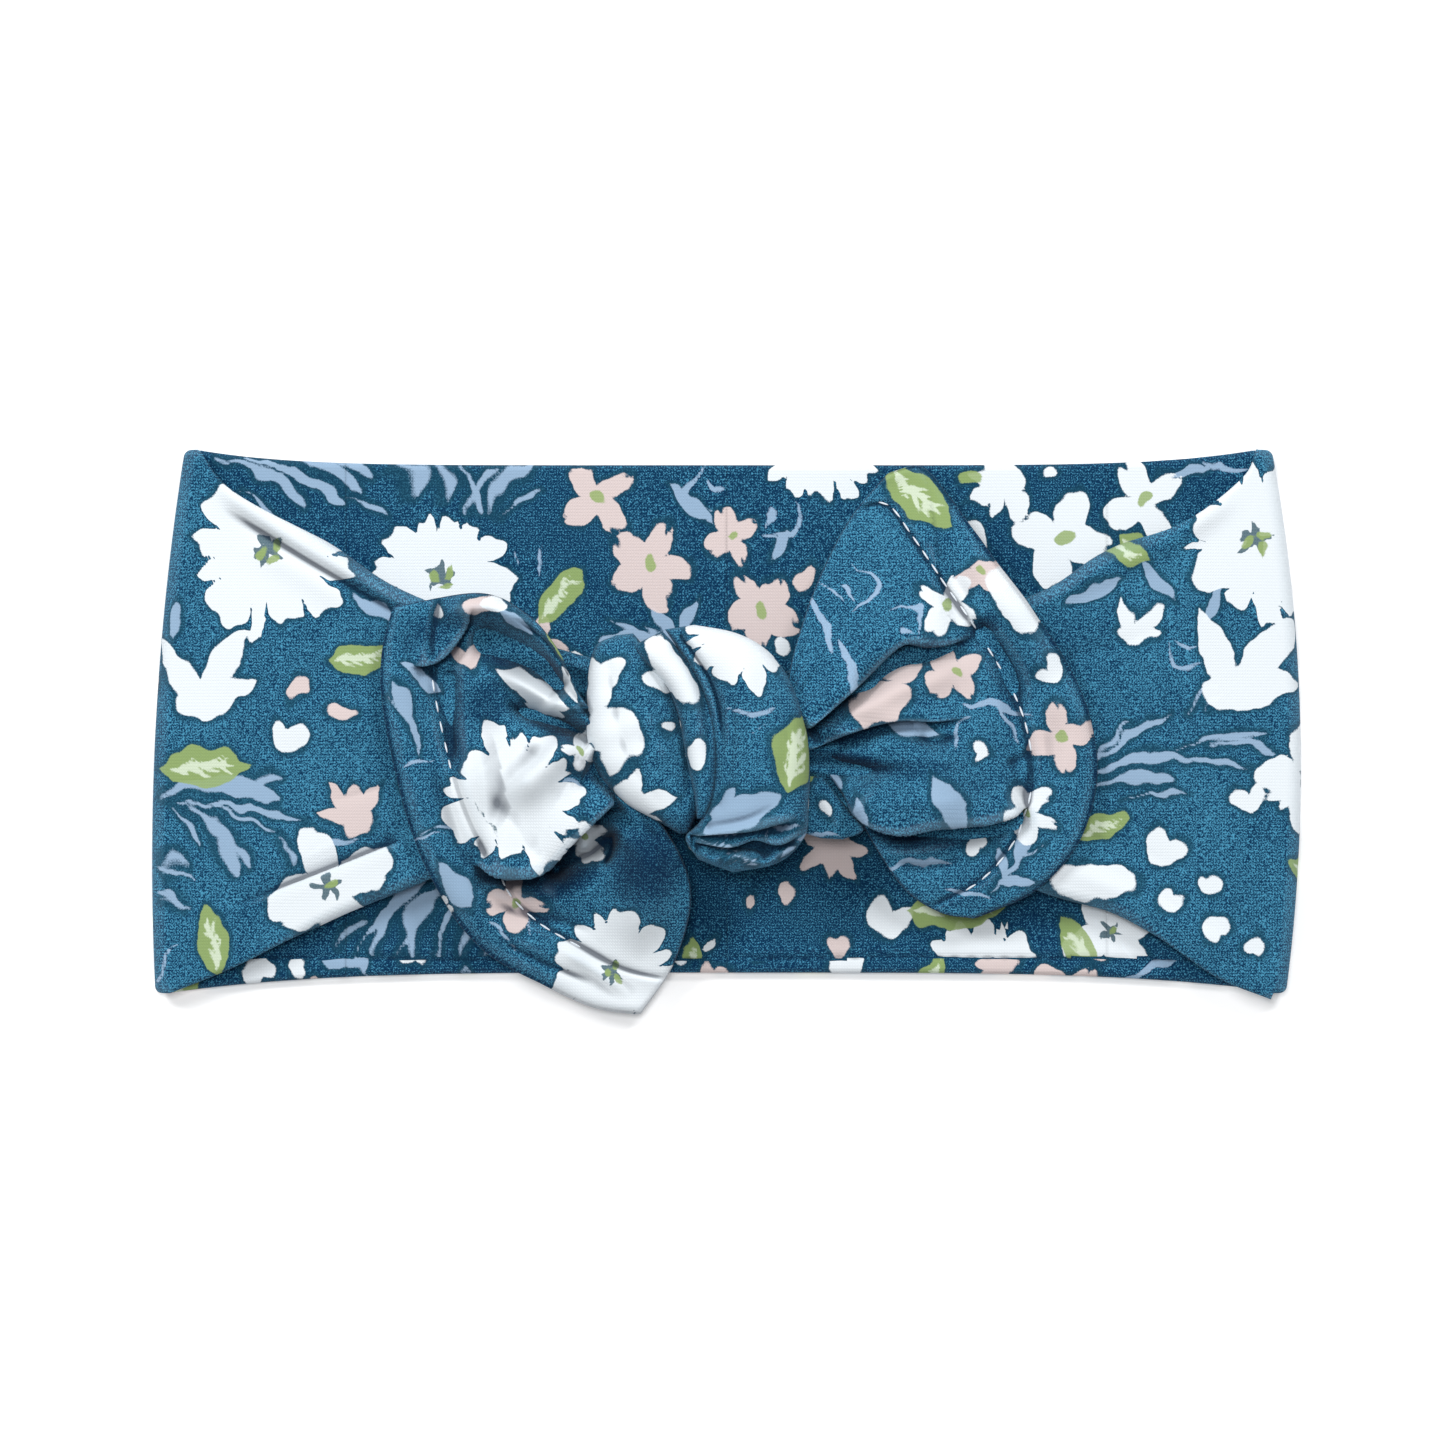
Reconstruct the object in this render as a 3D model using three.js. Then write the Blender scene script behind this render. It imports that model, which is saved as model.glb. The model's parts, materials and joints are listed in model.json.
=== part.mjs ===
// A baby's knotted headband, lying flat: a long tube of printed jersey, bent into a loop and tied
// in one overhand knot at the front, with its two hemmed ends spread out as tails.
// Units are millimetres. +X runs along the band to the wearer's left, +Y is towards the crown of
// the head, and +Z points out of the forehead. The back of the loop rests on z = 0, and the origin
// is the centre of the footprint. Each run of the tube has two layers of cloth, inner and outer.
import * as THREE from "three";

// Driving dimensions.
const CLOTH = 0.7; // thickness of one layer of jersey
const GAP = 0.3; // air between neighbouring layers
const TUBE_GAP = 0.7; // room between the two layers of the back, where the long seam's cloth lies
const FOLD_ROOM = 1.2; // room inside each side fold, between the back and the front
const HALF_BAND = 90.4; // centre of the band to each side fold
const CREST = 45.2; // centre to the upper corners, and to the lowest tail tip
const CORNER_X = 85.4; // centre to the upper corners of the back
const CENTRE_STRIP = 8; // half the width of the still strip at the centre of the back
const SEAM_Y = -35.2; // the tube's long seam, above the lower edge of the back
const SEAM_ALLOWANCE = 5; // cloth turned inside the tube at the long seam
const HEM = 7.2; // depth of the turned hem at each end of the tube
const THREAD = 0.4; // topstitching thread diameter

// Heights of the layers, from the table up.
const BACK_OUTER_Z = 0;
const BACK_INNER_Z = BACK_OUTER_Z + CLOTH + TUBE_GAP;
const BACK_TOP_Z = BACK_INNER_Z + CLOTH;
const WING_Z = BACK_TOP_Z + FOLD_ROOM; // underside of the front at the side folds
const WING_RISE = 5.4; // how far the knot props the front up
const OUTER_STEP = CLOTH + GAP; // from one layer to the next
const KNOT_FOOT = 5; // height at which the turns of the knot tuck under
const TURN_CLOTH = 2.4; // gathered cloth in one turn of the knot

// Colours of the cloth faces and of the thread.
const NAVY = new THREE.MeshStandardMaterial({ color: 0x2c6186, roughness: 0.9, metalness: 0 });
const LINING = new THREE.MeshStandardMaterial({ color: 0x22557a, roughness: 0.92, metalness: 0 });
const THREAD_WHITE = new THREE.MeshStandardMaterial({ color: 0xdfe4ea, roughness: 0.7, metalness: 0 });

const group = new THREE.Group();

// Adds a closed body between an upper and a lower surface, each a function of u and v in 0..1.
function addSlab(name, lower, upper, uSteps, vSteps, material) {
  const columns = vSteps + 1;
  const count = (uSteps + 1) * columns;
  const points = [];
  for (const surface of [upper, lower])
    for (let i = 0; i <= uSteps; i++)
      for (let j = 0; j <= vSteps; j++) points.push(surface(i / uSteps, j / vSteps));
  const faces = [];
  const quad = (a, b, c, d) => faces.push(a, b, c, a, c, d);
  const at = (i, j) => i * columns + j;
  for (let i = 0; i < uSteps; i++)
    for (let j = 0; j < vSteps; j++) {
      quad(at(i, j), at(i + 1, j), at(i + 1, j + 1), at(i, j + 1));
      quad(count + at(i, j), count + at(i, j + 1), count + at(i + 1, j + 1), count + at(i + 1, j));
    }
  const wall = (a, b) => quad(a, count + a, count + b, b);
  for (let i = 0; i < uSteps; i++) {
    wall(at(i, 0), at(i + 1, 0));
    wall(at(i + 1, vSteps), at(i, vSteps));
  }
  for (let j = 0; j < vSteps; j++) {
    wall(at(0, j + 1), at(0, j));
    wall(at(uSteps, j), at(uSteps, j + 1));
  }
  addMesh(name, points, faces, material);
}

// Adds a mesh, and turns its faces round if they point inwards.
function addMesh(name, points, faces, material) {
  let volume = 0;
  for (let k = 0; k < faces.length; k += 3) {
    const [a, b, c] = [points[faces[k]], points[faces[k + 1]], points[faces[k + 2]]];
    volume += a.dot(new THREE.Vector3().crossVectors(b, c));
  }
  if (volume < 0) faces.reverse();
  const geometry = new THREE.BufferGeometry().setFromPoints(points);
  geometry.setIndex(faces);
  geometry.computeVertexNormals();
  const mesh = new THREE.Mesh(geometry, material);
  mesh.name = name;
  group.add(mesh);
}

// A function of t in 0..1 that follows a smooth curve through points given as [x, y, z].
function through(points) {
  const curve = new THREE.CatmullRomCurve3(points.map((p) => new THREE.Vector3(...p)), false, "centripetal");
  return (t) => curve.getPoint(THREE.MathUtils.clamp(t, 0, 1));
}

// Moves a surface along its own upward normal by a distance.
function offset(surface, distance) {
  const step = 1e-3;
  return (u, v) => {
    const du = surface(Math.min(1, u + step), v).sub(surface(Math.max(0, u - step), v));
    const dv = surface(u, Math.min(1, v + step)).sub(surface(u, Math.max(0, v - step)));
    const normal = du.cross(dv).normalize();
    if (normal.z < 0) normal.negate();
    return surface(u, v).addScaledVector(normal, distance);
  };
}

// Adds one layer of cloth, a given height above a surface that marks its underside.
function addLayer(name, surface, height, thickness, uSteps, vSteps, material) {
  addSlab(name, offset(surface, height), offset(surface, height + thickness), uSteps, vSteps, material);
}

// The side folds bow outwards, and the band's edges flare a little towards them.
const foldLeft = (y) => -HALF_BAND + 5 * ((y + 20) / 64) ** 2;
const foldRight = (y) => HALF_BAND - 4.6 * ((y + 5) / 50) ** 2;
const backTop = (x) => 42.6 + (CREST - 42.6) * (x / CORNER_X) ** 6;
const backBottom = (x) => -37.5 - 3.6 * (x / HALF_BAND) ** 4;

// One flat layer of the back of the loop, from one line across it to another.
function addBackLayer(name, fromX, toX, z, material) {
  const surface = (level) => (u, v) => {
    const x = THREE.MathUtils.lerp(fromX, 0, u);
    const y = THREE.MathUtils.lerp(backBottom(x), backTop(x), v);
    const end = toX(y);
    const along = THREE.MathUtils.lerp(fromX, end, u);
    return new THREE.Vector3(along, THREE.MathUtils.lerp(backBottom(along), backTop(along), v), level);
  };
  addSlab(name, surface(z), surface(z + CLOTH), 8, 5, material);
}

function addBack() {
  const inset = CLOTH + GAP;
  const parts = [
    ["left", -CENTRE_STRIP - GAP, (y) => foldLeft(y)],
    ["right", CENTRE_STRIP + GAP, (y) => foldRight(y)],
  ];
  for (const [side, start, fold] of parts) {
    const sign = Math.sign(start);
    addBackLayer(`back_${side}_outer_layer`, start, (y) => fold(y), BACK_OUTER_Z, NAVY);
    addBackLayer(`back_${side}_inner_layer`, start, (y) => fold(y) - sign * inset, BACK_INNER_Z, LINING);
  }
  addBackLayer("back_centre_outer_layer", -CENTRE_STRIP, () => CENTRE_STRIP, BACK_OUTER_Z, NAVY);
  addBackLayer("back_centre_inner_layer", -CENTRE_STRIP, () => CENTRE_STRIP, BACK_INNER_Z, LINING);
}

// The cloth turned in at the long seam, flat inside the tube, in one length for each run.
function addLongSeam() {
  const reach = 84; // the seam stops short of the side folds
  const thickness = CLOTH / 2; // pressed thin
  const runs = [
    ["back_left_seam_allowance", -reach, -CENTRE_STRIP - GAP],
    ["back_centre_seam_allowance", -CENTRE_STRIP, CENTRE_STRIP],
    ["back_right_seam_allowance", CENTRE_STRIP + GAP, reach],
  ];
  for (const [name, fromX, toX] of runs) {
    const height = BACK_INNER_Z - TUBE_GAP / 2 - thickness / 2;
    const surface = (level) => (u, v) =>
      new THREE.Vector3(THREE.MathUtils.lerp(fromX, toX, u), SEAM_Y + SEAM_ALLOWANCE * v, height + level);
    addSlab(name, surface(0), surface(thickness), 2, 1, LINING);
  }
}

// The front of the loop: each wing narrows from its side fold to the knot, and rises on the way.
function wing(upperEdge, lowerEdge, fold) {
  const top = through(upperEdge);
  const bottom = through(lowerEdge);
  return (u, v) => {
    const point = bottom(u).lerp(top(u), v);
    const bow = fold(point.y) - THREE.MathUtils.lerp(bottom(0).x, top(0).x, v);
    point.x += bow * (1 - u) ** 2;
    point.z = WING_Z + WING_RISE * u;
    return point;
  };
}

function addWings() {
  const left = wing(
    [[-85.4, 43.6, 0], [-78.4, 38.7, 0], [-61, 28.4, 0], [-45, 19.5, 0], [-22.6, 11.5, 0]],
    [[-89.6, -40.2, 0], [-76, -35.6, 0], [-62.6, -28.6, 0], [-49.2, -22.9, 0], [-22.6, -12, 0]],
    foldLeft,
  );
  const right = wing(
    [[85.8, 44.6, 0], [81.1, 40.3, 0], [71.7, 33.2, 0], [49.5, 21.6, 0], [14, 10.5, 0]],
    [[87.6, -42, 0], [77.2, -37.9, 0], [66.9, -30.4, 0], [49.5, -23.5, 0], [14, -12, 0]],
    foldRight,
  );
  for (const [side, surface] of [["left", left], ["right", right]]) {
    addLayer(`front_${side}_inner_layer`, surface, 0, CLOTH, 8, 5, LINING);
    addLayer(`front_${side}_outer_layer`, surface, OUTER_STEP, CLOTH, 8, 5, NAVY);
  }
}

// A turn of the knot arches over the core from the crown side to the chin side. across() gives its
// two borders in x for a place along the arch, and crown is how high its middle stands.
function addKnotTurn(name, across, crown, depth, thickness) {
  const surface = (inward) => (u, v) => {
    const angle = THREE.MathUtils.lerp(Math.PI * 0.02, Math.PI * 0.98, u);
    const [leftX, rightX] = across(u);
    const swell = Math.sqrt(1 - 0.72 * (2 * v - 1) ** 2);
    const reach = depth - inward;
    return new THREE.Vector3(
      THREE.MathUtils.lerp(leftX, rightX, v),
      reach * Math.cos(angle),
      KNOT_FOOT + (crown - KNOT_FOOT - inward) * Math.sin(angle) * swell,
    );
  };
  addSlab(name, surface(thickness), surface(0), 14, 6, NAVY);
}

// The two creases between the turns, leaning from the crown side at u = 0 to the chin side.
const firstCrease = (u) => -11 + 8.6 * Math.sin(Math.PI * u * 0.62);
const secondCrease = (u) => firstCrease(u) + 0.6 + 3.6 * Math.sin(Math.PI * u);
const leftRim = (u) => -15 - 6.4 * Math.sin(Math.PI * (0.12 + 0.8 * u)) + 9 * u ** 3;
const rightRim = (u) => 6 + 6.6 * Math.sin(Math.PI * u * 0.78);

function addKnot() {
  const margin = GAP / 2;
  addKnotTurn("knot_left_turn", (u) => [leftRim(u), firstCrease(u) - margin], 20.5, 17.2, TURN_CLOTH);
  addKnotTurn(
    "knot_middle_fold",
    (u) => [firstCrease(u) + margin, secondCrease(u) + 0.5 - margin],
    19,
    16.4,
    TURN_CLOTH,
  );
  addKnotTurn("knot_front_turn", (u) => [secondCrease(u) + 0.5 + margin, rightRim(u)], 23, 18.6, TURN_CLOTH);
  addKnotCore();
  addLowerTuck();
}

// The crossing of the two strips, hidden inside the turns.
function addKnotCore() {
  const foot = BACK_TOP_Z + GAP;
  const profile = [new THREE.Vector2(0, 0)];
  const steps = 6;
  const radius = 11;
  const height = 8.5;
  for (let k = 0; k <= steps; k++) {
    const angle = (Math.PI / 2) * (k / steps);
    profile.push(new THREE.Vector2(radius * Math.cos(angle) ** 0.7, height * Math.sin(angle)));
  }
  profile[profile.length - 1].x = 0;
  const geometry = new THREE.LatheGeometry(profile, 18);
  geometry.rotateX(Math.PI / 2);
  geometry.scale(1, 0.95, 1);
  const mesh = new THREE.Mesh(geometry, LINING);
  mesh.name = "knot_core";
  mesh.position.set(-3, 0, foot);
  group.add(mesh);
}

// The loose lip of cloth that shows below the knot, on the side of the right tail.
function addLowerTuck() {
  const outer = through([[13.2, -18.2, 10.9], [17.2, -17, 10.9], [21, -14.4, 11]]);
  const inner = through([[13.6, -11, 11], [15.6, -10, 11], [17.8, -8.8, 11]]);
  const surface = (u, v) => outer(u).lerp(inner(u), v);
  addLayer("knot_lower_tuck", surface, 0, CLOTH, 4, 2, NAVY);
}

// A patch filled in between four border curves that share their corners.
function patch(lower, upper, throat, hem) {
  return (u, v) => {
    const sides = lower(u).multiplyScalar(1 - v).addScaledVector(upper(u), v);
    const ends = throat(v).multiplyScalar(1 - u).addScaledVector(hem(v), u);
    const near = lower(0).multiplyScalar(1 - v).addScaledVector(upper(0), v);
    const far = lower(1).multiplyScalar(1 - v).addScaledVector(upper(1), v);
    const corners = near.multiplyScalar(1 - u).addScaledVector(far, u);
    return sides.add(ends).sub(corners);
  };
}

// Part of a surface, from one share of its length to another.
const between = (surface, from, to) => (u, v) => surface(THREE.MathUtils.lerp(from, to, u), v);

// A tail: two layers of cloth from the knot, a turned hem round its end, and a row of topstitching.
function addTail(side, surface, length) {
  const hemStart = 1 - HEM / length;
  const breach = GAP / length;
  const body = between(surface, 0, hemStart - breach);
  addLayer(`${side}_tail_lower_layer`, body, 0, CLOTH, 9, 10, NAVY);
  addLayer(`${side}_tail_upper_layer`, body, OUTER_STEP, CLOTH, 9, 10, NAVY);
  const hem = between(surface, hemStart, 1);
  addLayer(`${side}_tail_hem`, hem, -GAP / 2, 2 * CLOTH + 2 * GAP, 2, 14, NAVY);
  const seat = offset(surface, OUTER_STEP + CLOTH + GAP + THREAD / 2);
  const line = [];
  const stations = 12;
  for (let k = 0; k <= stations; k++) line.push(seat(hemStart - 1.6 / length, 0.03 + 0.94 * (k / stations)));
  addThread(`${side}_tail_topstitching`, line);
}

// One run of thread: a five-sided section swept along a smooth line.
function addThread(name, line) {
  const section = new THREE.Shape();
  const sides = 5;
  for (let k = 0; k < sides; k++) {
    const angle = (2 * Math.PI * k) / sides;
    const [x, y] = [(THREAD / 2) * Math.cos(angle), (THREAD / 2) * Math.sin(angle)];
    if (k === 0) section.moveTo(x, y);
    else section.lineTo(x, y);
  }
  section.closePath();
  const geometry = new THREE.ExtrudeGeometry(section, {
    steps: 26,
    extrudePath: new THREE.CatmullRomCurve3(line),
    bevelEnabled: false,
  });
  const mesh = new THREE.Mesh(geometry, THREAD_WHITE);
  mesh.name = name;
  group.add(mesh);
}

function addTails() {
  const left = {
    lower: [[-18, -14.8, 11], [-10, -21.5, 10.2], [-6, -29.5, 8], [-12.2, -CREST + 0.6, 2.6]],
    upper: [[-23.6, 5.5, 12.6], [-29.5, 15.5, 16.2], [-38.9, 22.2, 15.4], [-51.8, 21.2, 12]],
    throat: [[-18, -14.8, 11], [-22.6, -4, 11.6], [-23.6, 5.5, 12.6]],
    hem: [
      [-12.2, -CREST + 0.6, 2.6], [-27, -40, 3.8], [-38, -34.2, 6.8], [-46, -23.5, 10.6],
      [-50.8, -7.1, 11.6], [-53.6, 8, 11.6], [-51.8, 21.2, 12],
    ],
  };
  const right = {
    lower: [[14, -6.5, 13], [20.5, -15, 12.6], [28, -23, 11], [39.5, -27.6, 10]],
    upper: [[13.2, 4.5, 13.2], [13, 15, 13.4], [18, 26.5, 12.6], [28.2, 42, 9.8]],
    throat: [[14, -6.5, 13], [14.2, -1, 13.1], [13.2, 4.5, 13.2]],
    hem: [
      [39.5, -27.6, 10], [49, -24.4, 10.4], [55.2, -16, 10.8], [56.8, -3, 11],
      [52.7, 10.3, 11], [44, 24, 10.8], [28.2, 42, 9.8],
    ],
  };
  for (const [side, border, length] of [["left", left, 36], ["right", right, 42]]) {
    const surface = patch(
      through(border.lower),
      through(border.upper),
      through(border.throat),
      through(border.hem),
    );
    addTail(side, surface, length);
  }
}

addBack();
addLongSeam();
addWings();
addKnot();
addTails();

export default group;
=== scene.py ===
"""A baby's knotted jersey headband, lying flat with its knot up, as soft printed cloth.

The band is one flat tube of brushed jersey: a back run, two side folds, two wings that narrow to
the knot, the knot's turns, and two tails with turned and topstitched hems. Lengths in this file are
millimetres until a mesh is made. +X runs along the band, +Y to its crown edge and +Z up.
"""

import json
import logging
from dataclasses import dataclass, replace
from enum import Enum
from typing import Callable, Optional, Sequence

import bpy
import numpy as np
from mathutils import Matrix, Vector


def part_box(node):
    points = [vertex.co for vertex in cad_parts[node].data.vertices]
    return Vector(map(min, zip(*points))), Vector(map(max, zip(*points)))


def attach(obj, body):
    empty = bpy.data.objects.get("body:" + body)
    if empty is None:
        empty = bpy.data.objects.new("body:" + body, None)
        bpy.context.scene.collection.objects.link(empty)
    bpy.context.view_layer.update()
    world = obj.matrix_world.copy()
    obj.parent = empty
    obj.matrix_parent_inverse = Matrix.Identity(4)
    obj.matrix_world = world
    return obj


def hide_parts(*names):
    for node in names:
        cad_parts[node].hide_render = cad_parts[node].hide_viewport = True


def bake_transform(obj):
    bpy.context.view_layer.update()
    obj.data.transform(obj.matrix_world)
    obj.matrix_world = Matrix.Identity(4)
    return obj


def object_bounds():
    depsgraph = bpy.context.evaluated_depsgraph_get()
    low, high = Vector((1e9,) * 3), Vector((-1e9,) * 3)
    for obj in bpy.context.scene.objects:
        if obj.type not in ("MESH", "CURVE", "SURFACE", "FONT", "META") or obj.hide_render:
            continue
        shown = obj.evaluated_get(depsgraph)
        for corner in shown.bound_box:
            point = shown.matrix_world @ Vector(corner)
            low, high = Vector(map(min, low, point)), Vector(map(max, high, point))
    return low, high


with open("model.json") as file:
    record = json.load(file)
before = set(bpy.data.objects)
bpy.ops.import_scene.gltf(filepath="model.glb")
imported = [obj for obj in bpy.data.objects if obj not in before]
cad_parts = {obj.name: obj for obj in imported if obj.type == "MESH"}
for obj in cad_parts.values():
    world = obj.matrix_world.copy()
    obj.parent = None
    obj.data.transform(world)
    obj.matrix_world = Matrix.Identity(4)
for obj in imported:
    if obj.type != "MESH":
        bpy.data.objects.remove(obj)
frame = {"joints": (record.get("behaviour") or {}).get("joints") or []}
box_at_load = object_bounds()

LOG = logging.getLogger("headband")
MM = 0.001  # metres in a millimetre

Point = tuple[float, float]
Path = Sequence[Point]


# ---------------------------------------------------------------------------------------------
# Curves and fields
# ---------------------------------------------------------------------------------------------


def ease(low: float, high: float, value: np.ndarray) -> np.ndarray:
    """A smooth step from 0 at low to 1 at high."""
    share = np.clip((value - low) / (high - low), 0.0, 1.0)
    return share * share * (3.0 - 2.0 * share)


def mixed(start: np.ndarray, end: np.ndarray, share: np.ndarray) -> np.ndarray:
    """The point a share of the way from start to end."""
    return start + (end - start) * share


class Line:
    """A smooth line through a few points, walked by its share of length."""

    STEPS = 24  # samples between two given points

    def __init__(self, points: Sequence[Sequence[float]]) -> None:
        """Samples a Catmull-Rom curve through the points."""
        given = np.array(points, float)
        ends = np.vstack([2 * given[0] - given[1], given, 2 * given[-1] - given[-2]])
        share = np.linspace(0.0, 1.0, self.STEPS, endpoint=False)[:, None]
        pieces = []
        for before, start, end, after in zip(ends, ends[1:], ends[2:], ends[3:]):
            pieces.append(
                0.5
                * (
                    2 * start
                    + (end - before) * share
                    + (2 * before - 5 * start + 4 * end - after) * share**2
                    + (3 * start - before - 3 * end + after) * share**3
                )
            )
        self.samples = np.vstack([*pieces, given[-1:]])
        strides = np.linalg.norm(np.diff(self.samples, axis=0), axis=1)
        walked = np.concatenate([[0.0], np.cumsum(strides)])
        self.length = float(walked[-1])
        self.shares = walked / walked[-1]

    def at(self, share: np.ndarray) -> np.ndarray:
        """Points at shares of the length, with one more axis than share has."""
        axes = range(self.samples.shape[1])
        return np.stack([np.interp(share, self.shares, self.samples[:, k]) for k in axes], axis=-1)


def nearest(
    path: Path, x: np.ndarray, y: np.ndarray
) -> tuple[np.ndarray, np.ndarray, np.ndarray, np.ndarray]:
    """How points lie about a path.

    Args:
        path: the path's corner points, smoothed before use.
        x: the points' X.
        y: the points' Y.

    Returns:
        The signed distance, positive on the left of the path, the share of the path walked at the
        nearest place, and the X and Y of the unit vector to the path's left there.
    """
    line = Line(path)
    coarse = line.at(np.linspace(0.0, 1.0, 4 * len(path) + 1))
    lengths = np.concatenate([[0.0], np.cumsum(np.linalg.norm(np.diff(coarse, axis=0), axis=1))])
    best = np.full(x.shape, np.inf)
    signed, walked = np.zeros(x.shape), np.zeros(x.shape)
    left_x, left_y = np.zeros(x.shape), np.zeros(x.shape)
    for k, (start, end) in enumerate(zip(coarse, coarse[1:])):
        along = end - start
        length = float(np.linalg.norm(along))
        along = along / length
        reach = np.clip((x - start[0]) * along[0] + (y - start[1]) * along[1], 0.0, length)
        off_x, off_y = x - start[0] - reach * along[0], y - start[1] - reach * along[1]
        distance = np.hypot(off_x, off_y)
        nearer = distance < best
        side = np.where(along[0] * off_y - along[1] * off_x >= 0.0, 1.0, -1.0)
        best = np.where(nearer, distance, best)
        signed = np.where(nearer, side * distance, signed)
        walked = np.where(nearer, (lengths[k] + reach) / lengths[-1], walked)
        left_x = np.where(nearer, -along[1], left_x)
        left_y = np.where(nearer, along[0], left_y)
    return signed, walked, left_x, left_y


def ripple(x: np.ndarray, y: np.ndarray, pitch: float, seed: int) -> np.ndarray:
    """Soft seeded unevenness between about -1 and 1, with hollows about a pitch apart."""
    random = np.random.default_rng(seed)
    total = np.zeros(np.broadcast(x, y).shape)
    waves = 7
    for _ in range(waves):
        angle, phase = random.uniform(0.0, 2 * np.pi, 2)
        rate = 2 * np.pi / (pitch * random.uniform(0.7, 1.6))
        total += np.sin(rate * (x * np.cos(angle) + y * np.sin(angle)) + phase)
    return total / np.sqrt(waves)


# ---------------------------------------------------------------------------------------------
# The print: inks, motifs and the lengths of cloth that they are printed on
# ---------------------------------------------------------------------------------------------


class Ink(Enum):
    """The inks of the print, in the order in which they go on."""

    EDGE = "edge"  # the dark outline round each flower and leaf
    SKY = "sky"
    PINK = "pink"
    WHITE = "white"
    CORE = "core"
    GREEN = "green"
    VEIN = "vein"

    @staticmethod
    def grounded() -> "tuple[Ink, ...]":
        """The inks that a dark outline goes round."""
        return Ink.SKY, Ink.WHITE, Ink.PINK, Ink.GREEN


Inked = list[tuple[Ink, np.ndarray]]


def turned(a: np.ndarray, b: np.ndarray, place: Point, turn: float) -> tuple[np.ndarray, np.ndarray]:
    """Coordinates about a place, along and across a direction that is turned by degrees."""
    angle = np.radians(turn)
    along = (a - place[0]) * np.cos(angle) + (b - place[1]) * np.sin(angle)
    across = (b - place[1]) * np.cos(angle) - (a - place[0]) * np.sin(angle)
    return along, across


def oval(a: np.ndarray, b: np.ndarray, place: Point, radii: Point, turn: float = 0.0) -> np.ndarray:
    """Depth inside an ellipse, with turn in degrees."""
    along, across = turned(a, b, place, turn)
    return (1.0 - np.hypot(along / radii[0], across / radii[1])) * min(radii)


def blade(a: np.ndarray, b: np.ndarray, place: Point, radii: Point, turn: float = 0.0) -> np.ndarray:
    """Depth inside a pointed leaf, whose half length and half width are the radii."""
    along, across = turned(a, b, place, turn)
    bow = (radii[0] ** 2 + radii[1] ** 2) / (2 * radii[1])
    drop = bow - radii[1]
    return bow - np.hypot(along, np.abs(across) + drop)


def brush(
    a: np.ndarray, b: np.ndarray, route: Sequence[Point], width: float, peak: float = 0.8
) -> np.ndarray:
    """Depth inside a brush stroke.

    Args:
        a: the places' first coordinate.
        b: the places' second coordinate.
        route: the stroke's start, the point that bends it, and its end.
        width: half the stroke's width where it is widest.
        peak: less than 1 puts the widest place early, and more than 1 late.

    Returns:
        The depth inside the stroke, which is thin at both ends.
    """
    start, bend, end = (np.array(p, float) for p in route)
    shares = np.linspace(0.0, 1.0, 11)
    spots = [(1 - s) ** 2 * start + 2 * s * (1 - s) * bend + s**2 * end for s in shares]
    widths = width * (0.22 + 0.78 * np.sin(np.pi * np.clip(shares, 0.0, 1.0) ** peak) ** 0.8)
    depth = np.full(a.shape, -np.inf)
    for near, far, near_width, far_width in zip(spots, spots[1:], widths, widths[1:]):
        along = far - near
        reach = np.clip(((a - near[0]) * along[0] + (b - near[1]) * along[1]) / (along @ along), 0.0, 1.0)
        off = np.hypot(a - near[0] - reach * along[0], b - near[1] - reach * along[1])
        depth = np.maximum(depth, near_width + (far_width - near_width) * reach - off)
    return depth


def daisy(a: np.ndarray, b: np.ndarray, seed: int) -> Inked:
    """A big ragged flower with a dark, splashed centre."""
    random = np.random.default_rng(seed)
    petals = 12
    cuts = np.sort(np.arange(petals) / petals + 0.03 * random.uniform(-1.0, 1.0, petals))
    lengths = 1.0 - 0.22 * random.random(petals)
    phases = random.uniform(0.0, 6.3, petals)
    turn = (np.arctan2(b, a) / (2 * np.pi) - cuts[0]) % 1.0
    starts = cuts - cuts[0]
    which = np.searchsorted(starts, turn, side="right") - 1
    widths = np.diff(np.append(starts, 1.0))
    across = 2.0 * (turn - starts[which]) / widths[which] - 1.0
    teeth = 0.045 * (1.0 + np.cos(1.6 * np.pi * across + phases[which]))
    outline = lengths[which] * (1.0 - 0.3 * np.abs(across) ** 5 - teeth)
    inks = [(Ink.WHITE, 0.9 * (outline - np.hypot(a, b)))]
    angle, reach = np.arctan2(b - 0.04, a + 0.03), np.hypot(a + 0.03, b - 0.04)
    splash = 0.13 + 0.05 * np.cos(5 * angle + seed) + 0.035 * np.cos(9 * angle)
    inks.append((Ink.CORE, splash - reach))
    for k in range(3):
        place = (0.1 * np.cos(2.1 * k + seed), 0.1 * np.sin(2.1 * k + seed))
        inks.append((Ink.GREEN, oval(a, b, place, (0.075, 0.05), 40.0 * k)))
    return inks


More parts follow.
